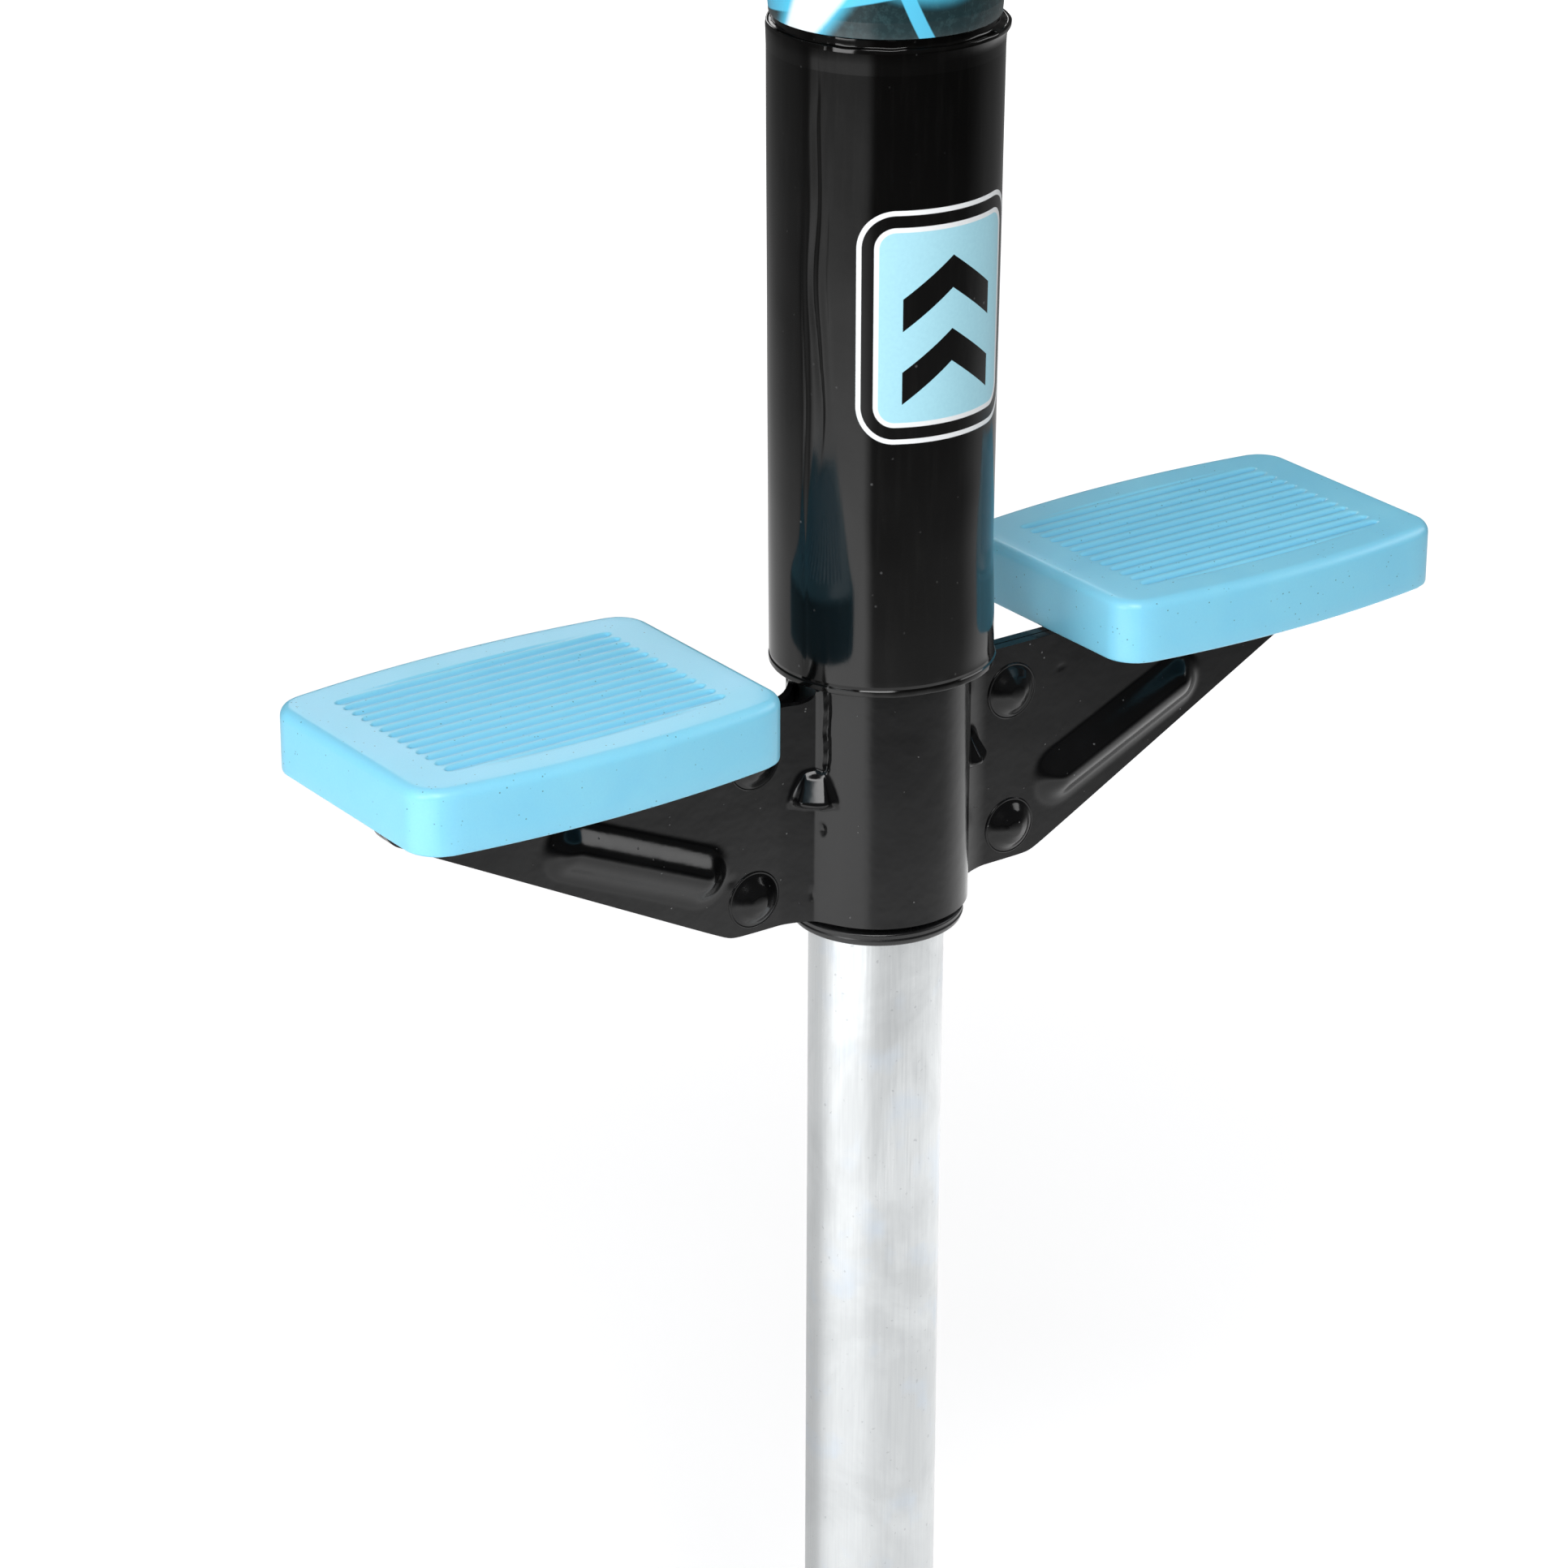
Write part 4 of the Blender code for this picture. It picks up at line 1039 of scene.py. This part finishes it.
# ---- padding ----------------------------------------------------------------------------
def sleeve_profile(low_z, high_z, rim_r):
    """The skin's section: a folded lip below, and a rolled rim that tucks in above."""
    lip = low_z + LIP

    def outside(z):
        return between(SLEEVE_FOOT_R, SLEEVE_TOP_R, (z - low_z) / (high_z - low_z))

    corners = [(outside(high_z - 5), high_z - 5, 2), (rim_r, high_z - 1.2, 0.8),
               (rim_r - 0.1, high_z - 0.25, 0.2), (rim_r - 0.7, high_z - 0.5, 0.2),
               (TUCK_R, high_z - 0.3, 0.2), (TUCK_R - 0.1, high_z + TUCK, 0.1),
               (SLEEVE_FOOT_R - SKIN, high_z + TUCK, 0.1), (SLEEVE_FOOT_R - SKIN, low_z, 0.2),
               (SLEEVE_FOOT_R + 0.1, low_z, 0.22), (SLEEVE_FOOT_R + 0.1, lip - 0.3, 0.2),
               (outside(lip) - 0.1, lip, 0.12), (outside(lip) + 0.02, lip + 0.6, 0.4)]
    return refine(rounded(corners), 1.1)


def make_sleeve():
    """The black vinyl skin, with a bulge on the right and a few stretch creases."""
    box = box_of("lower_sleeve")
    low = box.low.z
    high = box.high.z

    def ripple(angle, z):
        """Gentle unevenness, long shallow creases low on the left of the front, and the bulge."""
        body = smoothstep(low + 1.5, low + 8, z)
        spot = waver(angle, z * 0.028)
        reach = 0.05 * noise.noise(spot * 1.3) * (0.3 + 0.7 * body)
        for bearing, sway, depth, width, foot, head in CREASES:
            centre = math.radians(bearing)
            off = wrapped(angle - centre - sway * noise.noise(Vector((centre, 0.0, z * 0.045))))
            span = smoothstep(foot - 12, foot + 14, z) * (1 - smoothstep(head - 16, head + 10, z))
            reach -= depth * body * span * math.exp(-(off / math.radians(width)) ** 2)
        lip_wave = 1 - smoothstep(low + 1, low + 2.5, z)
        rim_wave = smoothstep(high - 2.5, high - 0.6, z)
        reach += rim_wave * 0.20 * noise.noise(spot * 1.1 + Vector((5, 0, 0)))
        reach += (0.04 * rim_wave + 0.06 * lip_wave) * noise.noise(spot * 9)
        ends = 0.9 * rim_wave + 0.65 * (1 - smoothstep(low + 4, low + 26, z)) + 0.35 * lip_wave
        outer = 1 - smoothstep(high - 0.6, high - 0.1, z)
        return reach + outer * (0.25 + ends) * math.exp(-(wrapped(angle - BULGE_TURN) / BULGE_SPREAD) ** 2)

    def lift(angle, reach, z):
        """The lip's and the rim's edges aren't quite level."""
        raised = 0.0
        if z < low + 1.3:
            spot = waver(angle, 4.0, 3.1)
            raised += 0.10 * (0.8 + noise.noise(spot)) * (1 - (z - low) / 1.3)
        if z > high - 1.2:
            spot = waver(angle, 0.0, reach * 0.26)
            raised += 0.22 * noise.noise(spot) * smoothstep(high - 1.2, high - 0.3, z)
        return raised

    profile = sleeve_profile(low, high, box.high.x - 0.1)
    piece = lathe("lower_sleeve_skin", profile, 320, ripple, lift, sharp=60)
    settle(piece, "frame", "black_vinyl", vinyl, "lower_sleeve")


def make_cover():
    """The printed skin, its lower edge turned under and its upper edge gathered over the foam."""
    box = box_of("printed_cover")
    cover_r = box.size.x / 2
    low = box.low.z
    high = box.high.z
    corners = [(cover_r - 0.25, low, 0.3), (cover_r - SKIN, low, 0.1), (cover_r - SKIN, high, 0.1),
               (cover_r - 0.2, high, 0.3), (cover_r + 0.02, high - 2.2, 0.8), (cover_r - 0.12, high - 3, 0.5),
               (cover_r, high - 4.5, 0.8), (cover_r, low + 3, 0.8)]

    def ripple(angle, z):
        spot = waver(angle, z * 0.022)
        return 0.10 * noise.noise(spot * 1.2) + 0.05 * noise.noise(spot * 3.5)

    piece = lathe("printed_cover_skin", refine(rounded(corners), 2.5), 192, ripple, sharp=60)
    settle(piece, "frame", "printed_vinyl", print_skin, "printed_cover")


def make_foam_core(node):
    """The foam under a skin, slightly uneven."""
    box = box_of(node)
    corners = [(box.size.x / 2, box.low.z, 1.0), (box.size.x / 2, box.high.z, 1.0),
               (FOAM_BORE_R, box.high.z, 0.4), (FOAM_BORE_R, box.low.z, 0.4)]

    def ripple(angle, z):
        return -0.05 - 0.10 * abs(noise.noise(waver(angle, z * 0.09, 2)))

    piece = lathe(f"{node}_core", refine(rounded(corners), 3), 96, ripple, sharp=60)
    settle(piece, "frame", "grey_foam", core_foam, node)


# ---- tubes, handlebar and plugs ---------------------------------------------------------
def make_tube(node, name, body, material, longest, steps=96, edge=0.35, axis="z"):
    """A plain steel tube with rounded rims, along Z or X."""
    box = box_of(node)
    outer = box.size.y / 2
    bottom = getattr(box.low, axis)
    top = getattr(box.high, axis)
    corners = [(outer, bottom, edge), (outer, top, edge), (outer - TUBE_WALL, top, edge),
               (outer - TUBE_WALL, bottom, edge)]
    piece = lathe(name, refine(rounded(corners, 3), longest), steps)
    if axis == "x":
        place(piece, (0, 0, box.middle.z), QUARTER)
    settle(piece, body, "galvanised_steel", material, node)


def make_welds():
    """A rippled fillet weld where the handlebar leaves the main tube on each side."""
    bar = box_of("handlebar")
    bar_r = bar.size.z / 2 + 0.35
    tube_r = box_of("main_tube").high.x

    def bead_r(share):
        return 1.55 + 0.16 * math.sin(share * math.tau * WELD_RIPPLES)

    for side, sign in SIDES.items():
        path = []
        for angle in spaced(0, math.tau, WELD_STEPS):
            y = bar_r * math.cos(angle)
            x = math.sqrt(max(tube_r ** 2 - y * y, (0.3 * tube_r) ** 2))
            path.append(Vector((sign * (x + 0.25), y, bar.middle.z + bar_r * math.sin(angle))))
        bead = swept(f"handlebar_weld_{side}", path, bead_r, loop=True)
        settle(bead, "frame", "galvanised_steel", weld_metal_skin)


def make_grip(side, sign):
    """A foam grip, slightly barrelled, with pressed-in finger rings and soft ends."""
    box = box_of(f"grip_{side}")
    length = box.size.x
    radius = box.size.z / 2
    inner = box_of("handlebar").high.z - box.middle.z + 0.3
    corners = [(radius, 0, 2.6), (radius, length, 2.6), (inner, length, 0.5), (inner, 0, 0.5)]

    def ripple(angle, along):
        rings = sum(math.exp(-((along - share * length) / 1.1) ** 2) for share in GRIP_RINGS)
        soft = 0.12 * noise.noise(waver(angle, along * 0.06, 1.5))
        return (soft - 0.12 - 0.55 * rings) * smoothstep(0, 3, min(along, length - along))

    piece = lathe(f"grip_{side}_foam", refine(rounded(corners, 6), 0.7), 96, ripple, sharp=60)
    place(piece, (box.low.x if sign > 0 else box.high.x, 0, box.middle.z), sign * QUARTER)
    settle(piece, "frame", "black_foam", grip_foam, f"grip_{side}")


def make_end_plug(side, sign):
    box = box_of(f"end_plug_{side}")
    head_r = box.size.z / 2
    face = PLUG_FACE
    corners = [(0, face, 0), (head_r * 0.30, face, 0.4), (head_r * 0.36, face - 0.45, 0.3),
               (head_r * 0.46, face - 0.45, 0.3), (head_r * 0.55, face - 0.1, 0.8),
               (head_r * 0.86, face - 1.0, 1.5), (head_r, 1.6, 1.0), (head_r, 0, 0.25), (PLUG_R, 0, 0.2),
               (PLUG_R, -PLUG_DEPTH, 0.8), (0, -PLUG_DEPTH, 0)]
    piece = lathe(f"end_plug_{side}_cap", rounded(corners), 64, closed=False, sharp=50)
    outermost = max(abs(box.low.x), abs(box.high.x))
    place(piece, (sign * (outermost - face), 0, box.middle.z), sign * QUARTER)
    settle(piece, "frame", "black_plastic", plastic, f"end_plug_{side}")


def make_top_cap():
    box = box_of("top_cap")
    head_r = box.size.x / 2
    top = box.high.z
    seat = box_of("main_tube").high.z + CAP_GAP
    corners = [(0, top, 0), (head_r * 0.5, top - 0.35, 4), (head_r * 0.9, top - 1.6, 3),
               (head_r, seat + 1.4, 1.2),
               (head_r, seat, 0.25), (CAP_PLUG_R, seat, 0.2), (CAP_PLUG_R, box.low.z, 0.5), (0, box.low.z, 0)]
    piece = lathe("top_cap_plug", rounded(corners, 6), 96, closed=False, sharp=50)
    settle(piece, "frame", "black_plastic", plastic, "top_cap")


# ---- bush, tip and inner parts ----------------------------------------------------------
def make_bush():
    """The flanged bearing: a rounded flange with a fine parting line, and its barrel in the tube."""
    box = box_of("lower_bush")
    flange_r = box.size.x / 2
    low = box.low.z
    high = box.high.z
    seat = low + BUSH_FLANGE
    corners = [(flange_r, seat, 0.35), (BUSH_BARREL_R, seat, 0.2), (BUSH_BARREL_R, high, 0.4),
               (BORE_R, high, 0.3),
               (BORE_R, low, 0.5), (flange_r - 0.5, low, 0.8), (flange_r - 0.04, low + 1.2, 0.6),
               (flange_r - 0.22, low + 1.55, 0.15)]
    piece = lathe("lower_bush_moulding", rounded(corners, 5), sharp=60)
    settle(piece, "frame", "black_plastic", plastic, "lower_bush")


def make_rubber_tip():
    """The foot: a beaded mouth, grip rings, a flared base and a ringed sole."""
    box = box_of("rubber_tip")
    top = box.high.z
    base = box.size.x / 2
    corners = [(BORE_R, top, 0.4), (BORE_R + 3.0, top, 1.1), (BORE_R + 3.5, top - 2.2, 0.8),
               (BORE_R + 2.7, top - 3.4, 0.6)]
    for ring in range(TIP_GRIP_RINGS):
        z = top - 5.4 - ring * TIP_GRIP_PITCH
        corners += [(BORE_R + 2.8, z, 0.3), (BORE_R + 3.5, z - 0.8, 0.5), (BORE_R + 3.5, z - 1.8, 0.5),
                    (BORE_R + 2.8, z - 2.6, 0.3)]
    corners += [(BORE_R + 3.4, 21, 6), (base - 0.8, 15, 3), (base - 0.1, 8, 2), (base - 0.9, 7.1, 0.3),
                (base - 0.05, 6.2, 0.4), (base, 0, 2.6)]
    for ring_r in SOLE_RINGS:
        corners += [(ring_r, 0, 0.3), (ring_r - 0.5, 1.1, 0.3), (ring_r - 1.3, 1.1, 0.3),
                    (ring_r - 1.8, 0, 0.3)]
    corners += [(0, 0, 0), (0, TIP_FLOOR, 0), (BORE_R, TIP_FLOOR, 0.5)]
    piece = lathe("rubber_tip_moulding", rounded(corners), sharp=55)
    settle(piece, "shaft", "black_rubber", tip_rubber, "rubber_tip")


def make_spring():
    """The coil with a closed turn at each end."""
    box = box_of("spring")
    coil_r = box.size.x / 2 - WIRE_R
    rise = box.size.z - 2 * WIRE_R
    end_rise = 2.02 * WIRE_R
    path = []
    for index in range(COIL_TURNS * COIL_STEPS + 1):
        turn = index / COIL_STEPS
        if turn < 1:
            z = end_rise * turn
        elif turn > COIL_TURNS - 1:
            z = rise - end_rise * (COIL_TURNS - turn)
        else:
            z = between(end_rise, rise - end_rise, (turn - 1) / (COIL_TURNS - 2))
        angle = math.tau * turn
        path.append(Vector((coil_r * math.cos(angle), coil_r * math.sin(angle), box.low.z + WIRE_R + z)))
    piece = swept("spring_coil", path, lambda share: WIRE_R)
    settle(piece, "frame", "spring_steel", spring_steel(), "spring")
    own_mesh(piece)


def paint_cad_parts():
    """The inner parts keep their CAD shape and take the materials made here."""
    steel = ("stop_pin", "upper_spring_seat", "lower_spring_seat", "guide_pin", "tip_washer")
    looks = dict.fromkeys(steel, zinc_small)
    looks["shaft_guide"] = nylon()
    looks["rebound_bumper"] = tip_rubber
    for node, material in looks.items():
        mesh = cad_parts[node].data
        mesh.materials.clear()
        mesh.materials.append(material)


# ---- studio -----------------------------------------------------------------------------
def make_camera():
    camera = bpy.data.objects.new("photo_camera", bpy.data.cameras.new("photo_camera"))
    camera.data.lens = CAMERA_LENS
    camera.data.sensor_width = SENSOR
    camera.data.clip_start = 0.01
    forward = Vector((-math.sin(CAMERA_YAW) * math.cos(CAMERA_DIP),
                      math.cos(CAMERA_YAW) * math.cos(CAMERA_DIP), -math.sin(CAMERA_DIP)))
    level = Vector((math.cos(CAMERA_YAW), math.sin(CAMERA_YAW), 0))
    upright = level.cross(forward)
    right = math.cos(CAMERA_ROLL) * level + math.sin(CAMERA_ROLL) * upright
    up = math.cos(CAMERA_ROLL) * upright - math.sin(CAMERA_ROLL) * level
    turn = Matrix((right, up, -forward)).transposed()
    camera.matrix_world = Matrix.Translation(CAMERA_AT) @ turn.to_4x4()
    bpy.context.scene.collection.objects.link(camera)
    bpy.context.scene.camera = camera


def make_softbox(name, at, size, power):
    """A rectangular light that faces the pedals' level on the axis."""
    light = bpy.data.lights.new(name, "AREA")
    light.shape = "RECTANGLE"
    light.size, light.size_y = size
    light.energy = power
    lamp = bpy.data.objects.new(name, light)
    lamp.location = at
    lamp.rotation_mode = "QUATERNION"
    lamp.rotation_quaternion = (Vector((0, 0, pedal_top * MM)) - Vector(at)).to_track_quat("-Z", "Y")
    lamp.visible_camera = False
    bpy.context.scene.collection.objects.link(lamp)


def floor_brightness(nodes, x, y, far):
    """What reflections see of the floor: bright round the stick and darker towards the room."""
    angle = nodes.math("ARCTAN2", y, x)

    def falloff(levels):
        node = nodes.add("ShaderNodeValToRGB", {"Fac": nodes.map(far, 0, FLOOR_REACH)})
        ramp = node.color_ramp
        ramp.interpolation = "B_SPLINE"
        while len(ramp.elements) < len(levels):
            ramp.elements.new(0.5)
        for element, distance, value in zip(ramp.elements, RAMP_PLACES, levels):
            element.position = distance / FLOOR_REACH
            element.color = (value / FLOOR_PEAK,) * 3 + (1,)
        return nodes.times(node.outputs["Color"], FLOOR_PEAK)

    def lobe(centre, width, narrowing=1.0):
        """1 where the floor lies within a width of this bearing, in degrees, and 0 away from it."""
        turned = nodes.math("WRAP", nodes.minus(angle, math.radians(centre)), -math.pi, math.pi)
        apart = nodes.times(nodes.size(turned), narrowing)
        return nodes.map(apart, math.radians(width * 1.1), math.radians(width * 0.75), smooth=True)

    room = nodes.times(falloff(FLOOR_ROOM), nodes.minus(1.0, nodes.times(lobe(*SHADE_LOBE), SHADE_DEPTH)))
    left = nodes.times(falloff(FLOOR_LEFT), lobe(*LEFT_LOBE, nodes.map(far, 0.58, 0.85, 0.8, 0.9)))
    back = nodes.times(falloff(FLOOR_BACK), lobe(*BACK_LOBE))
    return nodes.plus(nodes.plus(room, left), back)


def make_floor():
    """A pale sweep, which reflections see by its own light and the camera as lit white paper."""
    mesh = bpy.data.meshes.new("floor")
    corners = [(x * FLOOR_HALF, y * FLOOR_HALF, 0) for x, y in ((-1, -1), (1, -1), (1, 1), (-1, 1))]
    mesh.from_pydata(corners, [], [(0, 1, 2, 3)])
    floor = bpy.data.objects.new("floor", mesh)
    bpy.context.scene.collection.objects.link(floor)
    nodes = Nodes("studio_floor")
    x, y, _ = nodes.split(1.0)
    far = nodes.math("SQRT", nodes.plus(nodes.times(x, x), nodes.times(y, y)))
    white = (1, 1, 1)
    brightness = floor_brightness(nodes, x, y, far)
    mirrored = nodes.add("ShaderNodeEmission", {"Color": white, "Strength": brightness})
    matt = nodes.add("ShaderNodeBsdfDiffuse", {"Color": (0.86, 0.86, 0.87)})
    glow_level = nodes.plus(nodes.map(far, 0.35, 1.6, *FLOOR_GLOW, smooth=True),
                            nodes.map(nodes.noise(3), 0.3, 0.7, -0.004, 0.004))
    glow = nodes.add("ShaderNodeEmission", {"Color": white, "Strength": glow_level})
    lit = nodes.add("ShaderNodeAddShader", {0: matt.outputs[0], 1: glow.outputs[0]})
    to_camera = nodes.add("ShaderNodeLightPath").outputs["Is Camera Ray"]
    both = nodes.add("ShaderNodeMixShader", {0: to_camera, 1: mirrored.outputs[0], 2: lit.outputs[0]})
    nodes.tree.nodes.remove(nodes.shader)
    nodes.feed(nodes.tree.nodes["Material Output"].inputs["Surface"], both.outputs[0])
    floor.data.materials.append(nodes.material)


def make_room():
    """White behind the object for the camera, and a dim room for everything else."""
    world = bpy.data.worlds.new("studio")
    world.use_nodes = True
    tree = world.node_tree
    background = tree.nodes["Background"]
    path = tree.nodes.new("ShaderNodeLightPath")
    level = tree.nodes.new("ShaderNodeMapRange")
    level.inputs["To Min"].default_value = ROOM_LEVEL
    level.inputs["To Max"].default_value = ROOM_WHITE
    tree.links.new(path.outputs["Is Camera Ray"], level.inputs["Value"])
    tree.links.new(level.outputs["Result"], background.inputs["Strength"])
    background.inputs["Color"].default_value = (1, 1, 1, 1)
    bpy.context.scene.world = world


make_brackets()
make_rivets()
for which in SIDES:
    make_pedal(which)
for which in SIDES:
    for end in ("front", "rear"):
        make_pedal_screw(f"pedal_screw_{which}_{end}")
make_sleeve()
make_cover()
make_foam_core("lower_foam")
make_foam_core("upper_foam")
make_tube("main_tube", "main_tube_steel", "frame", zinc_upright, 20)
make_tube("handlebar", "handlebar_steel", "frame", zinc_level, 10, axis="x")
weld_metal_skin = weld_metal()
make_welds()
for which, direction in SIDES.items():
    make_grip(which, direction)
    make_end_plug(which, direction)
make_top_cap()
make_tube("shaft", "shaft_steel", "shaft", zinc_upright, 6, ROUND, 0.5)
make_bush()
make_rubber_tip()
make_spring()
paint_cad_parts()
make_camera()
make_floor()
make_room()
for lamp_name, settings in SOFTBOXES.items():
    make_softbox(lamp_name, *settings)
bpy.context.scene.view_settings.view_transform = "Standard"
